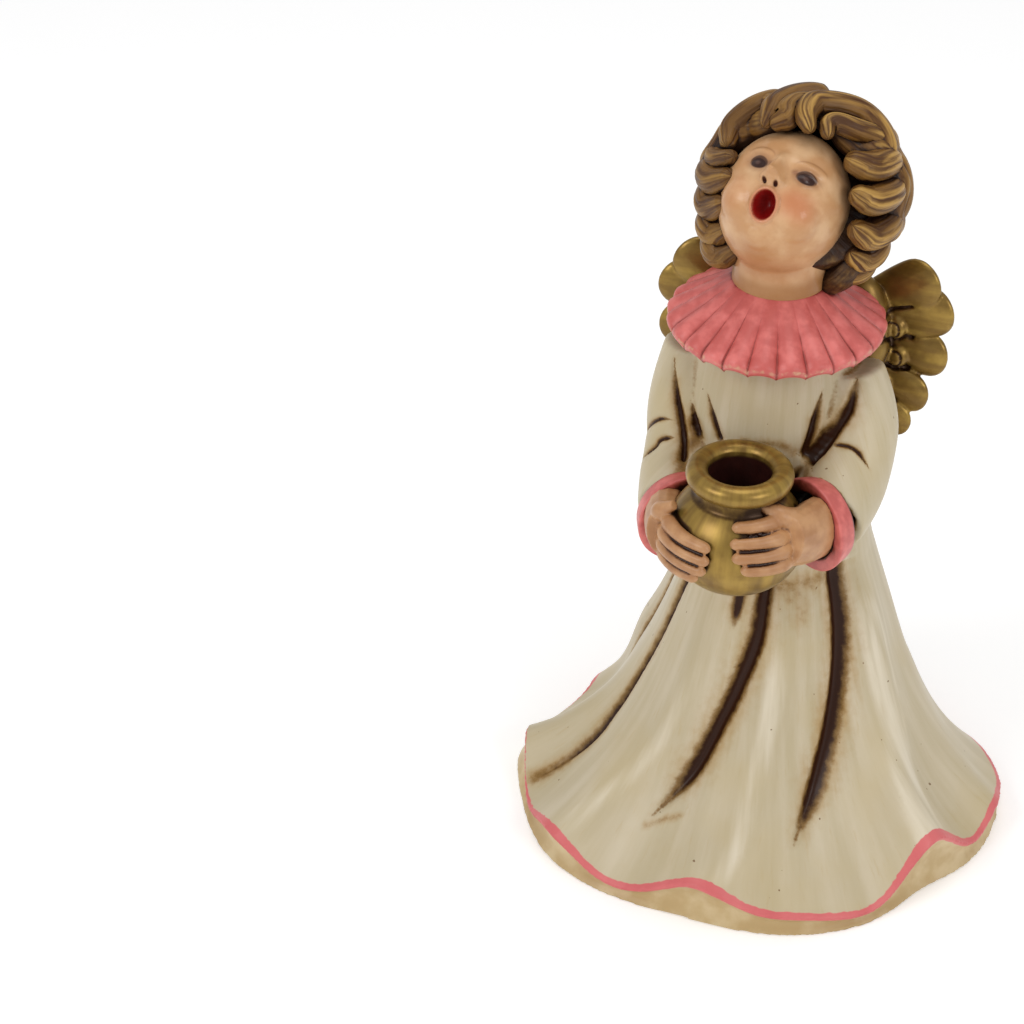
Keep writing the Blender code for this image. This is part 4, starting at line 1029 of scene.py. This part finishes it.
# Rouge: place and half size on the face, then its strength
ROUGE = (
    ((0.44, -0.13), (0.36, 0.28), 0.55),
    ((-0.50, -0.20), (0.26, 0.28), 0.22),
    ((0.0, -0.27), (0.32, 0.34), 0.32),
)
HEAD_SMOOTHING = 60
head_centre = Vector((-UPPER_BODY_SWAY, -UPPER_BODY_LEAN, HEAD_HEIGHT))
head_turn = (
    Matrix.Rotation(math.radians(-HEAD_TURN), 4, "Z")
    @ Matrix.Rotation(math.radians(-HEAD_LOOK_UP), 4, "X")
    @ Matrix.Rotation(math.radians(HEAD_TILT), 4, "Y")
)
head_size = np.array((HEAD_HALF_WIDTH, HEAD_HALF_DEPTH, HEAD_HALF_LENGTH))


def on_head(across, up, lift=0.0):
    """A point of the face: across and up are shares of the head's half sizes, lift is in metres."""
    ahead = math.sqrt(max(0.0, 1.0 - across * across - up * up))
    spot = (across, -ahead, up)
    sizes = (HEAD_HALF_WIDTH, HEAD_HALF_DEPTH, HEAD_HALF_LENGTH)
    local = Vector([share * size for share, size in zip(spot, sizes)])
    outward = Vector([share / size for share, size in zip(spot, sizes)]).normalized()
    return head_centre + head_turn.to_3x3() @ (local + lift * outward)


foot = body_centre + Vector((0.0, 0.0, COLLAR_HEIGHT - 0.002))
pieces = [
    tube("neck", [foot, 0.5 * (foot + head_centre), head_centre], [NECK_RADIUS] * 3, detail=14),
    ball("skull", head_centre, head_size, head_turn),
    ball("cheek_left", on_head(-0.55, -0.30, -0.0048), (0.0060, 0.0058, 0.0062), head_turn),
    ball("cheek_right", on_head(0.55, -0.32, -0.0048), (0.0060, 0.0058, 0.0062), head_turn),
    ball("chin", on_head(0.0, -0.72, -0.0046), (0.0056, 0.0052, 0.0050), head_turn),
    ball("brow", on_head(0.0, 0.50, -0.0050), (0.0085, 0.0055, 0.0045), head_turn),
]
head = fused("head", pieces, FINE_VOXEL, HEAD_SMOOTHING)
points = places(head)
to_local = np.array(head_turn.to_3x3().transposed())
local = (points - np.array(head_centre)) @ to_local.T
unit = local / head_size
unit /= np.maximum(np.linalg.norm(unit, axis=1), 1e-6)[:, None]
across, up = unit[:, 0], unit[:, 2]
ahead = ease(-unit[:, 1], 0.0, 0.25)
outward = unit / head_size
outward /= np.linalg.norm(outward, axis=1)[:, None]


def mound(centre, size):
    return bell(across - centre[0], size[0]) * bell(up - centre[1], size[1])


push = np.zeros(len(points))
for x_eye, y_eye in EYES:
    side = math.copysign(1.0, x_eye)
    push -= 0.00115 * mound((x_eye, y_eye), (0.22, 0.15))
    push += 0.00100 * mound((x_eye, y_eye - 0.005), (0.135, 0.085))
    arch = y_eye + 0.165 - 0.5 * (across - x_eye - 0.02 * side) ** 2
    push += 0.00045 * bell(up - arch, 0.050) * bell(across - x_eye, 0.20)
    lid = y_eye + 0.085 - 1.9 * (across - x_eye) ** 2
    push += 0.00030 * bell(up - lid, 0.022) * bell(across - x_eye, 0.16)
    lower = y_eye - 0.080 + 1.3 * (across - x_eye) ** 2
    push += 0.00020 * bell(up - lower, 0.022) * bell(across - x_eye, 0.15)
x_nose, y_nose = NOSE
bridge = ease(up, y_nose - 0.06, y_nose + 0.05) * (1.0 - ease(up, y_nose + 0.08, y_nose + 0.42))
push += 0.00280 * bridge * bell(across - x_nose, 0.085 + 0.04 * (1.0 - ease(up, y_nose, y_nose + 0.3)))
push += 0.00240 * mound((x_nose, y_nose - 0.01), (0.100, 0.080))
for side in (-1, 1):
    push += 0.00150 * mound((x_nose + 0.130 * side, y_nose - 0.045), (0.062, 0.052))
    push -= 0.00110 * mound((x_nose + 0.088 * side, y_nose - 0.085), (0.034, 0.030))
mouth_across, mouth_up = (across - MOUTH[0]) / MOUTH_HALF_WIDTH, (up - MOUTH[1]) / MOUTH_HALF_LENGTH
away = np.sqrt(mouth_across**2 + mouth_up**2)
push += 0.00065 * bell(away - 1.12, 0.17)
push -= 0.0040 * np.sqrt(np.clip(1.0 - away**2, 0.0, 1.0)) * (1.0 - ease(away, 0.9, 1.05))
push -= 0.00016 * mound((MOUTH[0] - 0.10, MOUTH[1] - 0.29), (0.12, 0.04))
in_world = outward @ np.array(head_turn.to_3x3()).T
put_places(head, points + in_world * (push * ahead)[:, None])
note(head, "face", np.stack([across, up, ahead], axis=1))
note(head, "over_collar", (points[:, 2] - (COLLAR_HEIGHT + COLLAR_RISE)) * 1000.0)
# Where shade falls under the chin, painted darker on the skin
near_skull = 1.0 - ease(np.linalg.norm(local / head_size, axis=1), 1.03, 1.16)
note(head, "under_chin_shade", ease(-up, 0.66, 0.90) * near_skull)

# Flesh enamel with the features painted on it, under a thin gloss varnish that gives small highlights.
face_paint, tree, shader, place = paint("flesh_enamel_on_face")
face_place = kept(tree, "face", True)


def spot(centre, size, low, high):
    """1 inside an ellipse on the face, 0 outside; low and high are radii in shares of its size."""
    moved = add(tree, "Mapping", [(0, face_place), (1, (-centre[0], -centre[1], 0.0))]).outputs[0]
    scaled = add(tree, "Mapping", [(0, moved), (3, (1.0 / size[0], 1.0 / size[1], 0.0))]).outputs[0]
    length = add(tree, "VectorMath", [(0, scaled)], operation="LENGTH").outputs["Value"]
    return inverse(tree, window(tree, length, low, high))


def crescent(upper, lower):
    """The part of one spot that lies outside another."""
    return math_node(tree, "MULTIPLY", spot(*upper), inverse(tree, spot(*lower)))


colour = two_tone(tree, grain(tree, place, 0.18, 4.0), 0.35, 0.7, "#bf8f62", "#d2aa80")
for centre, size, strength in ROUGE:
    colour = over(tree, colour, spot(centre, size, 0.2, 1.2), strength, "#bd6a45")
# Painted shade on the neck just above the collar and under the chin
neck_shade = inverse(tree, window(tree, kept(tree, "over_collar"), 2.0, 6.0))
colour = over(tree, colour, neck_shade, 0.75, "#96642f")
colour = over(tree, colour, kept(tree, "under_chin_shade"), 0.50, "#a0683a")
colour = washed(tree, place, colour, "#94633a", BROWN_WASH, 0.70)
for x_eye, y_eye in EYES:
    side = math.copysign(1.0, x_eye)
    # Painted shade round each eye and at its inner corner, and a painted glint in the eye
    shadow = spot((x_eye, y_eye + 0.01), (0.24, 0.145), 0.45, 1.2)
    inner_corner_shade = spot((x_eye - 0.185 * side, y_eye + 0.035), (0.075, 0.050), 0.2, 1.2)
    eye = spot((x_eye, y_eye), (0.150, 0.082), 0.80, 1.08)
    glint = spot((x_eye - 0.010, y_eye + 0.004), (0.052, 0.038), 0.3, 1.2)
    lash = crescent(
        ((x_eye, y_eye + 0.012), (0.155, 0.098), 0.90, 1.10),
        ((x_eye, y_eye - 0.018), (0.150, 0.095), 0.88, 1.02),
    )
    brow = crescent(
        ((x_eye, y_eye + 0.12), (0.24, 0.13), 0.90, 1.06),
        ((x_eye, y_eye + 0.085), (0.26, 0.135), 0.90, 1.04),
    )
    for share, strength, code in (
        (shadow, 0.62, "#7c4d31"), (inner_corner_shade, 0.55, "#7a4a30"), (eye, 1.0, "#2e1208"),
        (glint, 0.32, "#7a5c52"), (lash, 0.85, "#3c2012"), (brow, 0.40, "#8a5a34"),
    ):
        colour = over(tree, colour, share, strength, code)
for side in (-1, 1):
    nostril = spot((x_nose + 0.088 * side, y_nose - 0.085), (0.042, 0.040), 0.6, 1.1)
    colour = over(tree, colour, nostril, 1.0, "#3a1408")
lips = spot(MOUTH, (MOUTH_HALF_WIDTH * 1.30, MOUTH_HALF_LENGTH * 1.25), 0.80, 1.05)
colour = over(tree, colour, lips, 0.75, "#c47a58")
red = spot(MOUTH, (MOUTH_HALF_WIDTH, MOUTH_HALF_LENGTH), 0.96, 1.08)
deep = grain(tree, place, 0.7, 4.0)
colour = blend(tree, red, colour, blend(tree, deep, linear("#6e0a08"), linear("#981612")))
varnished(tree, shader, colour, 0.40, 1.30)
shader.inputs["Coat Weight"].default_value = 0.30
shader.inputs["Coat Roughness"].default_value = 0.13
finished(head, face_paint)

# Hair. On the real one the curls are thick rolled locks with engraved strands, over a smooth mass; they
# are painted light brown, glazed with the dark wash and dry-brushed on top with ochre.
HAIR_HALF_WIDTH = 0.0178
HAIR_HALF_DEPTH = 0.0172
HAIR_HALF_HEIGHT = 0.0170
HAIR_SHIFT = 0.0022
HAIR_SET_BACK = 0.0065
HAIR_RISE = 0.0004
STRANDS = 15
OUTLINE_POINTS = 6 * STRANDS
STRAND_DEPTH = 0.040
LOCK_SINK = 0.020
LOCK_FULLNESS = 0.0003
LOCK_STEPS = 10
HAIR_BEHIND_FACE = 0.62
TRESSES = 9
TRESS_SPAN = (92.0, 268.0)
TRESS_RADIUS = 0.0036
TRESS_POINTS = 23
TRESS_STEPS = 3
TRESS_TOP = 84.0
TRESS_FALL = 130.0
TRESS_SWAY = 5.0
TRESS_WAVES = 5.0
hair_centre = head_centre + Vector((HAIR_SHIFT, HAIR_SET_BACK, HAIR_RISE))
hair_size = Vector((HAIR_HALF_WIDTH, HAIR_HALF_DEPTH, HAIR_HALF_HEIGHT))


def on_hair(azimuth, elevation, share=1.0):
    """A point on the mass of hair, or a share of its size out: azimuth from the front, then elevation."""
    turn, rise = math.radians(azimuth), math.radians(elevation)
    flat = math.cos(rise)
    outward = Vector((math.sin(turn) * flat, -math.cos(turn) * flat, math.sin(rise)))
    return hair_centre + share * Vector([a * b for a, b in zip(outward, hair_size)])


# Locks round the face and over the crown: (azimuth, elevation, share of the hair's size) points, then
# the radius at each point in millimetres
FRONT_LOCKS = (
    (
        (
            (92, 30, 1.06), (100, 42, 1.12), (112, 56, 1.13), (112, 70, 1.13),
            (82, 86, 1.13), (10, 83, 1.13), (4, 75, 1.12), (12, 68, 1.10),
        ),
        (2.6, 2.9, 2.9, 2.7, 2.6, 2.4, 2.1, 1.3),
    ),
    (
        ((100, 38, 1.09), (92, 47, 1.09), (76, 58, 1.10), (60, 69, 1.10), (44, 69, 1.08), (38, 63, 1.08)),
        (2.2, 2.2, 2.0, 1.8, 1.6, 1.1),
    ),
    (
        (
            (160, 72, 1.10), (-177, 72, 1.10), (-138, 73, 1.08),
            (-90, 70, 1.08), (-66, 67, 1.08), (-56, 62, 1.06),
        ),
        (2.4, 2.8, 2.9, 2.8, 2.4, 1.2),
    ),
    (
        ((150, 84, 1.08), (-100, 83, 1.08), (-50, 75, 1.07), (-36, 72, 1.06), (-42, 67, 1.05)),
        (2.0, 2.5, 2.6, 2.4, 1.6),
    ),
    (
        ((-140, 58, 1.08), (-112, 55, 1.08), (-98, 45, 1.08), (-88, 36, 1.08), (-76, 33, 1.06)),
        (2.2, 2.8, 2.9, 2.7, 1.5),
    ),
    (((-98, 18, 1.05), (-84, 17, 1.08), (-72, 19, 1.05), (-58, 29, 1.04)), (1.8, 2.3, 2.2, 1.4)),
    (((-96, 6, 1.05), (-78, 7, 1.10), (-63, 8, 1.06), (-50, 17, 1.04)), (2.4, 3.0, 2.9, 2.0)),
    (((-90, -8, 1.06), (-72, -8, 1.10), (-62, -10, 1.08), (-48, 0, 1.04)), (2.4, 3.0, 2.9, 2.0)),
    (((-82, -22, 1.10), (-64, -22, 1.17), (-56, -25, 1.13), (-48, -20, 1.06)), (2.4, 3.0, 2.9, 2.0)),
    (((-76, -32, 1.12), (-58, -33, 1.23), (-50, -36, 1.23), (-44, -34, 1.12)), (2.6, 3.1, 3.0, 2.0)),
    (((104, 24, 1.03), (88, 29, 1.08), (66, 33, 1.06), (56, 40, 1.03)), (2.4, 3.0, 3.0, 2.1)),
    (((96, 9, 1.03), (78, 11, 1.08), (59, 13, 1.06), (52, 18, 1.03)), (2.4, 3.0, 3.0, 2.1)),
    (((94, -10, 1.03), (80, -12, 1.08), (60, -13, 1.06), (51, -6, 1.03)), (2.4, 3.1, 3.0, 2.1)),
    (((90, -28, 1.05), (76, -30, 1.12), (64, -34, 1.11), (56, -30, 1.05)), (2.2, 2.8, 2.6, 1.9)),
    (((82, -38, 1.08), (68, -41, 1.17), (58, -45, 1.15), (57, -44, 1.08)), (2.2, 2.6, 2.4, 1.6)),
    (((96, -20, 0.98), (70, -34, 1.02), (54, -46, 1.14), (50, -60, 1.18)), (2.2, 2.8, 2.8, 2.2)),
    (
        ((98, 36, 1.04), (102, 22, 1.08), (98, 8, 1.10), (92, -4, 1.10), (88, -18, 1.05)),
        (2.2, 2.7, 2.8, 2.6, 1.6),
    ),
)
# The lock beside the neck lies in deep shade, which is painted on it
SHADED_LOCKS = (15,)
DARK_LOCK_SHADE = 0.40
# The locks that were dry-brushed most
POLISHED_LOCKS = (0, 1, 10, 11, 12, 13, 14)
outline = bpy.data.curves.new("strand_outline", "CURVE")
outline.dimensions = "3D"
spline = outline.splines.new("POLY")
spline.points.add(OUTLINE_POINTS - 1)
for index, control in enumerate(spline.points):
    turn = 2.0 * math.pi * index / OUTLINE_POINTS
    uneven = 0.9 * math.sin(3.0 * turn) + 0.5 * math.sin(5.0 * turn + 1.0)
    size = 1.0 - STRAND_DEPTH * (1.0 - abs(math.sin(0.5 * STRANDS * turn + uneven)) ** 0.7)
    control.co = (size * math.cos(turn), size * math.sin(turn), 0.0, 1.0)
spline.use_cyclic_u = True
strand_section = bpy.data.objects.new("strand_section", outline)
bpy.context.scene.collection.objects.link(strand_section)


def lock(name, line, radii, steps, number, polish, shade=0.0):
    """A lock with rounded ends, engraved along its length."""
    way = (line[-1] - line[-2]).normalized()
    first = line[0] + 0.6 * radii[0] * (line[0] - line[1]).normalized()
    rounding = ((0.45, 0.92), (0.80, 0.62), (0.98, 0.08))
    ends = [line[-1] + along * radii[-1] * way for along, _ in rounding]
    radii = [0.1 * radii[0]] + radii + [share * radii[-1] for _, share in rounding]
    obj = tube(name, [first] + line + ends, radii, strand_section, steps=steps)
    way_line = np.array([tuple(point) for point in dense([first] + line, 0.0010)])
    points = places(obj)
    nearest = np.array([np.argmin(((way_line - point) ** 2).sum(axis=1)) for point in points])
    along = np.gradient(way_line, axis=0)[nearest]
    along /= np.linalg.norm(along, axis=1)[:, None]
    out = way_line[nearest] - np.array(hair_centre)
    out -= (out * along).sum(axis=1)[:, None] * along
    out /= np.maximum(np.linalg.norm(out, axis=1), 1e-9)[:, None]
    from_way = points - way_line[nearest]
    swing = np.arctan2((from_way * np.cross(along, out)).sum(axis=1), (from_way * out).sum(axis=1))
    note(obj, "brush", np.stack([2.6 * swing, nearest / 11.0, np.full(len(points), 7.3 * number)], axis=1))
    note(obj, "crest", polish * np.clip(np.cos(swing), 0.0, 1.0))
    note(obj, "groove", np.full(len(points), shade))
    return obj


locks = []
for number, (path, radii) in enumerate(FRONT_LOCKS):
    line = [on_hair(az, el, share - LOCK_SINK) for az, el, share in path]
    radii = [0.001 * radius + LOCK_FULLNESS for radius in radii]
    polish = 1.0 if number in POLISHED_LOCKS else 0.72
    # Painted shade on the lock that lies in deep shade
    shade = DARK_LOCK_SHADE if number in SHADED_LOCKS else 0.0
    locks.append(lock(f"lock_{number}", line, radii, LOCK_STEPS, number, polish, shade))

# Waved tresses down the back of the head, the outer two sunk in where the side locks lie over them
first_azimuth, last_azimuth = TRESS_SPAN
for number in range(TRESSES):
    azimuth = first_azimuth + (last_azimuth - first_azimuth) * number / (TRESSES - 1)
    line, radii = [], []
    for step in range(TRESS_POINTS):
        share = step / (TRESS_POINTS - 1)
        phase = TRESS_WAVES * math.pi * share
        rise = TRESS_TOP - TRESS_FALL * share
        sunk = 0.12 * float(ease(rise, 25.0, 55.0)) * (number in (0, TRESSES - 1))
        line.append(on_hair(azimuth + TRESS_SWAY * math.sin(phase), rise, 1.0 - sunk))
        swell = min(1.0, 0.35 + 2.5 * share)
        radii.append(TRESS_RADIUS * swell * (0.85 + 0.30 * abs(math.cos(phase + 0.5))))
    locks.append(lock(f"tress_{number}", line, radii, TRESS_STEPS, 20 + number, 0.62))
bpy.data.objects.remove(strand_section)
mass = ball("hair_mass", hair_centre, hair_size)
only(mass)
bpy.ops.object.mode_set(mode="EDIT")
bpy.ops.mesh.select_all(action="SELECT")
bpy.ops.mesh.subdivide(number_cuts=1)
bpy.ops.object.mode_set(mode="OBJECT")

# The mass keeps behind the face: in front of the ears it lies inside the head
points = places(mass)
local = (points - np.array(head_centre)) @ to_local.T / head_size
size = np.linalg.norm(local, axis=1)
most = HAIR_BEHIND_FACE + 0.9 * (1.0 - ease(-local[:, 1] / size, -0.32, -0.02))
local *= np.minimum(1.0, most / size)[:, None]
put_places(mass, np.array(head_centre) + (local * head_size) @ to_local)
# The mass shows only in the gaps between the locks and is painted dark there: the wash, and painted shade
# of the gaps
note(mass, "groove", np.full(len(points), 0.45))
note(mass, "brush", np.stack([points[:, 0] * 700.0, points[:, 1] * 700.0, points[:, 2] * 120.0], axis=1))
note(mass, "crest", np.zeros(len(points)))
hair = joined("hair", [mass] + locks)

# Brown enamel glazed dark between the strands, with ochre dragged over their crests by a dry brush; the
# strands also raise fine ridges that break up the shine.
brown_hair, tree, shader, place = paint("glazed_brown_hair_paint")
strands = grain(tree, kept(tree, "brush", True), 1.0, 3.0)
clouds = grain(tree, place, 0.12, 3.0)
colour = two_tone(tree, strands, 0.30, 0.62, "#4a2a0c", "#7a5524")
colour = over(tree, colour, window(tree, clouds, 0.45, 0.72), 0.35, "#4a3018")
crest = window(tree, kept(tree, "crest"), 0.50, 1.0)
dry = math_node(tree, "MULTIPLY", crest, window(tree, strands, 0.40, 0.66))
edges = math_node(tree, "MULTIPLY", window(tree, kept(tree, "ridge"), 0.30, 1.0), 0.6)
colour = over(tree, colour, math_node(tree, "MAXIMUM", dry, edges), 0.85, "#c0964e")
colour = washed(tree, place, colour, "#3c2210", "#200d04")
varnished(tree, shader, colour, 0.42, 1.35)
bumped(tree, shader, strands, 0.65, 0.0007)
finished(hair, brown_hair)

# Wings. Each real wing is a fan of rounded feathers in low relief with fine engraved barbs and small
# round coverts at the root, painted with the same gold as the pot and washed brown.
WING_ROOT_OFFSET = 0.0100
WING_ROOT_DEPTH = 0.0080
WING_SPREAD = 0.0330
WING_SWEEP = 0.0090
WING_ROOT_HEIGHT = 0.1135
WING_UNEVENNESS = 0.0012
FEATHER_WIDTH = 0.0114
FEATHER_THICKNESS = 0.0040
FEATHER_TAPER = (0.7, 0.95, 1.05, 0.90, 0.60, 0.08)
NOTCH_SHARE = 0.74
COVERT_HALF_THICKNESS = 0.0022
WING_VOXEL = 0.00028
WING_SMOOTHING = 3
# Feathers: share of the spread, height of the tip and of the root over the wing's root, width share
FEATHERS = (
    (0.82, 0.0160, 0.0045, 0.98),
    (1.00, 0.0088, 0.0015, 0.98),
    (0.98, -0.0035, -0.0010, 0.95),
    (0.84, -0.0140, -0.0060, 0.85),
    (0.68, -0.0215, -0.0110, 0.75),
)
# Coverts: share of the spread, height over the wing's root and half size
COVERTS = ((0.46, 0.0030, 0.0028), (0.50, -0.0040, 0.0028), (0.40, -0.0100, 0.0024))

for side, word in SIDES.items():
    away = Vector((side * (WING_SPREAD - WING_ROOT_OFFSET), WING_SWEEP, 0.0)).normalized()
    face = Vector((side * -away.y, -abs(away.x), 0.0)).normalized()
    uneven = side * WING_UNEVENNESS
    root = Vector((side * WING_ROOT_OFFSET, WING_ROOT_DEPTH, WING_ROOT_HEIGHT + uneven))
    span = math.hypot(WING_SPREAD - WING_ROOT_OFFSET, WING_SWEEP) + 0.5 * uneven
    pieces, strokes, axes = [], [], []
    for number, (share, rise, start, width) in enumerate(FEATHERS):
        foot = root + Vector((0.0, 0.0, start))
        tip = root + share * span * away + Vector((0.0, 0.0, rise))
        half = 0.5 * FEATHER_WIDTH * width
        way = (tip - foot).normalized()
        inner = tip - half * way
        line = [foot, 0.5 * (foot + inner) + 0.0010 * face, inner]
        line += [inner + share_on * half * way for share_on in (0.50, 0.82, 0.99)]
        feather = tube(f"feather_{number}", line, [half * k for k in FEATHER_TAPER], detail=10)
        middle = 0.5 * (foot + tip)
        flatten = Matrix.Scale(FEATHER_THICKNESS / FEATHER_WIDTH, 4, face)
        step = Matrix.Translation(middle + 0.0005 * (number % 2) * face)
        feather.data.transform(step @ flatten @ Matrix.Translation(-middle))
        pieces.append(feather)
        axes.append((foot, tip))
    for (foot_a, tip_a), (foot_b, tip_b) in zip(axes, axes[1:]):
        start = 0.5 * (foot_a + foot_b)
        notch = start + NOTCH_SHARE * (0.5 * (tip_a + tip_b) - start)
        for surface_side in (1, -1):
            lift = surface_side * 0.5 * FEATHER_THICKNESS * face
            strokes.append(([start + lift, notch + lift], 0.00055, 0.0011, 0.3, 0.15))
    for number, (share, rise, size) in enumerate(COVERTS):
        centre = root + share * span * away + Vector((0.0, 0.0, rise)) + 0.0020 * face
        turn = face.to_track_quat("Y", "Z").to_matrix().to_4x4()
        pieces.append(ball(f"covert_{number}", centre, (size, COVERT_HALF_THICKNESS, size), turn))
        ring = []
        for step in range(0, 361, 20):
            swing = math.radians(step)
            round_it = math.cos(swing) * away + math.sin(swing) * Vector((0, 0, 1))
            ring.append(centre + 0.72 * size * round_it)
        ring = [point + COVERT_HALF_THICKNESS * face for point in ring]
        strokes.append((ring, 0.00028, 0.00035, 0.01, 0.01))
    pieces.append(ball("shoulder_blade", root + 0.10 * span * away, (0.0075, 0.0050, 0.0150)))
    wing = fused(f"wing_{word}", pieces, WING_VOXEL, WING_SMOOTHING)
    carve(wing, strokes, halo_width=2.2)
    points = places(wing)
    from_root = points - np.array(root)
    reached = from_root @ np.array(away) / span
    note(wing, "brush", np.stack([reached * 3.0, from_root[:, 1] * 300.0, points[:, 2] * 1200.0]).T)
    note(wing, "bore", np.zeros(len(points)))
    # The wing is made darker all over, and more towards its root
    root_darkening = 0.40 + 0.65 * (1.0 - ease(reached, 0.15, 0.70))
    note(wing, "halo", np.maximum(noted(wing, "halo"), root_darkening))
    finished(wing, gold)

# Antiquing. The real figure was brushed all over with thinned bitumen brown and wiped, so the wash stays
# wherever a rag can't reach. How shut in each spot is, is felt with short rays; the darkening this gives
# is partly that wash and partly painted shade in recesses, under things and between parts. The hollows of
# the skin itself are found by how far it lies below its own smoothed shape.
RAYS = 10
RAY_REACH = 0.0085
RAY_START = 0.00012
EVERY = 3
SPREAD_STEPS = 5
# How shut in a spot is before the wash and painted shade begin there, and where they cover all
HEAD_SHUT = (0.78, 1.15)
BODY_SHUT = (0.30, 0.85)
# Hollows: rounds of smoothing and the depth in metres that counts as full
HOLLOW_SIZES = ((4, 0.00009), (16, 0.00024))


def smoothed(values, edges, counts, steps):
    for _ in range(steps):
        total = np.stack(
            [
                np.bincount(edges[:, 0], values[edges[:, 1], k], len(values))
                + np.bincount(edges[:, 1], values[edges[:, 0], k], len(values))
                for k in range(values.shape[1])
            ],
            axis=1,
        )
        values = 0.5 * values + 0.5 * total / counts[:, None]
    return values


all_points, all_faces, offset = [], [], 0
for obj in figure:
    mesh = obj.data
    mesh.calc_loop_triangles()
    corners = np.empty(len(mesh.loop_triangles) * 3, np.int32)
    mesh.loop_triangles.foreach_get("vertices", corners)
    all_points.append(places(obj))
    all_faces.append(corners.reshape(-1, 3) + offset)
    offset += len(mesh.vertices)
whole = BVHTree.FromPolygons(np.concatenate(all_points).tolist(), np.concatenate(all_faces).tolist())
spiral = []
for index in range(RAYS):
    rise = math.sqrt((index + 0.5) / RAYS)
    turn = math.pi * (3.0 - math.sqrt(5.0)) * index
    flat = math.sqrt(1.0 - rise * rise)
    spiral.append((flat * math.cos(turn), flat * math.sin(turn), rise))
spiral = np.array(spiral)

for obj in figure:
    points, normals = places(obj), directions(obj)
    edges = np.empty(len(obj.data.edges) * 2, np.int32)
    obj.data.edges.foreach_get("vertices", edges)
    edges = edges.reshape(-1, 2)
    counts = np.maximum(np.bincount(edges.reshape(-1), minlength=len(points)), 1).astype(float)
    aside = np.cross(normals, np.where(np.abs(normals[:, :1]) < 0.8, (1.0, 0.0, 0.0), (0.0, 1.0, 0.0)))
    aside /= np.maximum(np.linalg.norm(aside, axis=1), 1e-9)[:, None]
    third = np.cross(normals, aside)
    origins = points + normals * RAY_START
    felt = np.zeros((len(points), 2))
    felt[::EVERY, 1] = 1.0
    for ray in spiral:
        ways = aside * ray[0] + third * ray[1] + normals * ray[2]
        for index in range(0, len(points), EVERY):
            distance = whole.ray_cast(origins[index], ways[index], RAY_REACH)[3]
            if distance is not None:
                felt[index, 0] += 1.0 - 0.6 * distance / RAY_REACH
    felt = smoothed(felt, edges, counts, SPREAD_STEPS)
    shut = felt[:, 0] / RAYS / np.maximum(felt[:, 1], 1e-6)
    below_skin, over_skin = np.zeros(len(points)), np.zeros(len(points))
    for steps, depth in HOLLOW_SIZES:
        offset_by = ((smoothed(points, edges, counts, steps) - points) * normals).sum(axis=1)
        below_skin = np.maximum(below_skin, np.clip(offset_by / depth, 0.0, 1.0))
        over_skin = np.maximum(over_skin, np.clip(-offset_by / depth, 0.0, 1.0))
    low, high = HEAD_SHUT if obj is head else BODY_SHUT
    note(obj, "ridge", over_skin * (1.0 - ease(shut, 0.1, 0.5)))
    # Painted shade where a spot is shut in, with the wash in the skin's own hollows
    note(obj, "wash_and_shade", np.clip(ease(shut, low, high) + 0.55 * below_skin, 0.0, 1.0))
    for name in ("groove", "halo"):
        if obj.data.attributes.get(name) is None:
            note(obj, name, np.zeros(len(points)))
    # The tan film also spreads where a spot is shut in: partly wash, partly painted shade
    note(obj, "halo", np.maximum(noted(obj, "halo"), ease(shut, low - 0.10, high - 0.25)))

# The two largest skins are thinned where they are flat, each to a piece of at most this many triangles.
MOST_TRIANGLES = 192000
for obj in (robe, hair):
    count = sum(len(face.vertices) - 2 for face in obj.data.polygons)
    applied(obj, "DECIMATE", ratio=min(1.0, MOST_TRIANGLES / count))

# Studio: a pale table top and a soft light tent, seen from where the photographer stood.
CAMERA_PLACE = Vector((0.0865, -0.4292, 0.3710))
CAMERA_PITCH = 34.5
CAMERA_TURN = 19.0
CAMERA_LENS = 84.375
LOOK_AT = Vector((0.0, 0.0, 0.09))
FLOOR_GAP = 0.0002
bpy.ops.object.select_all(action="DESELECT")
bpy.ops.mesh.primitive_plane_add(size=6.0, location=(0.0, 0.0, -FLOOR_GAP))
floor = bpy.context.view_layer.objects.active
floor.name = "table_top"
# Matt white paper that glows a little, as a back-lit sheet does, so that the shadows on it stay faint.
white, tree, shader, place = paint("white_paper")
shader.inputs["Base Color"].default_value = linear("#fbfbfb")
shader.inputs["Roughness"].default_value = 0.9
shader.inputs["Emission Color"].default_value = (1.0, 1.0, 1.0, 1.0)
shader.inputs["Emission Strength"].default_value = 0.18
floor.data.materials.append(white)

# Lights: name, place, side of the square and power
LIGHTS = (
    ("left_softbox", (-0.60, -0.75, 0.75), 0.45, 3.5),
    ("right_softbox", (0.85, -0.55, 0.65), 0.40, 2.6),
    ("top_softbox", (0.05, 0.05, 1.10), 0.60, 2.4),
)
for name, spot_place, size, power in LIGHTS:
    lamp = bpy.data.lights.new(name, "AREA")
    lamp.shape = "SQUARE"
    lamp.size = size
    lamp.energy = power
    holder = bpy.data.objects.new(name, lamp)
    bpy.context.scene.collection.objects.link(holder)
    holder.location = spot_place
    holder.rotation_euler = (LOOK_AT - Vector(spot_place)).to_track_quat("-Z", "Y").to_euler()
world = bpy.data.worlds.new("light_tent")
world.use_nodes = True
world.node_tree.nodes["Background"].inputs["Color"].default_value = (1.0, 1.0, 1.0, 1.0)
world.node_tree.nodes["Background"].inputs["Strength"].default_value = 0.58
bpy.context.scene.world = world

bpy.context.scene.view_settings.view_transform = "Standard"

lens = bpy.data.cameras.new("camera")
lens.lens = CAMERA_LENS
lens.sensor_width = 36.0
lens.clip_start = 0.01
lens.clip_end = 20.0
camera = bpy.data.objects.new("camera", lens)
bpy.context.scene.collection.objects.link(camera)
camera.location = CAMERA_PLACE + figure_place
camera.rotation_euler = (math.radians(90.0 - CAMERA_PITCH), 0.0, math.radians(CAMERA_TURN))
bpy.context.scene.camera = camera
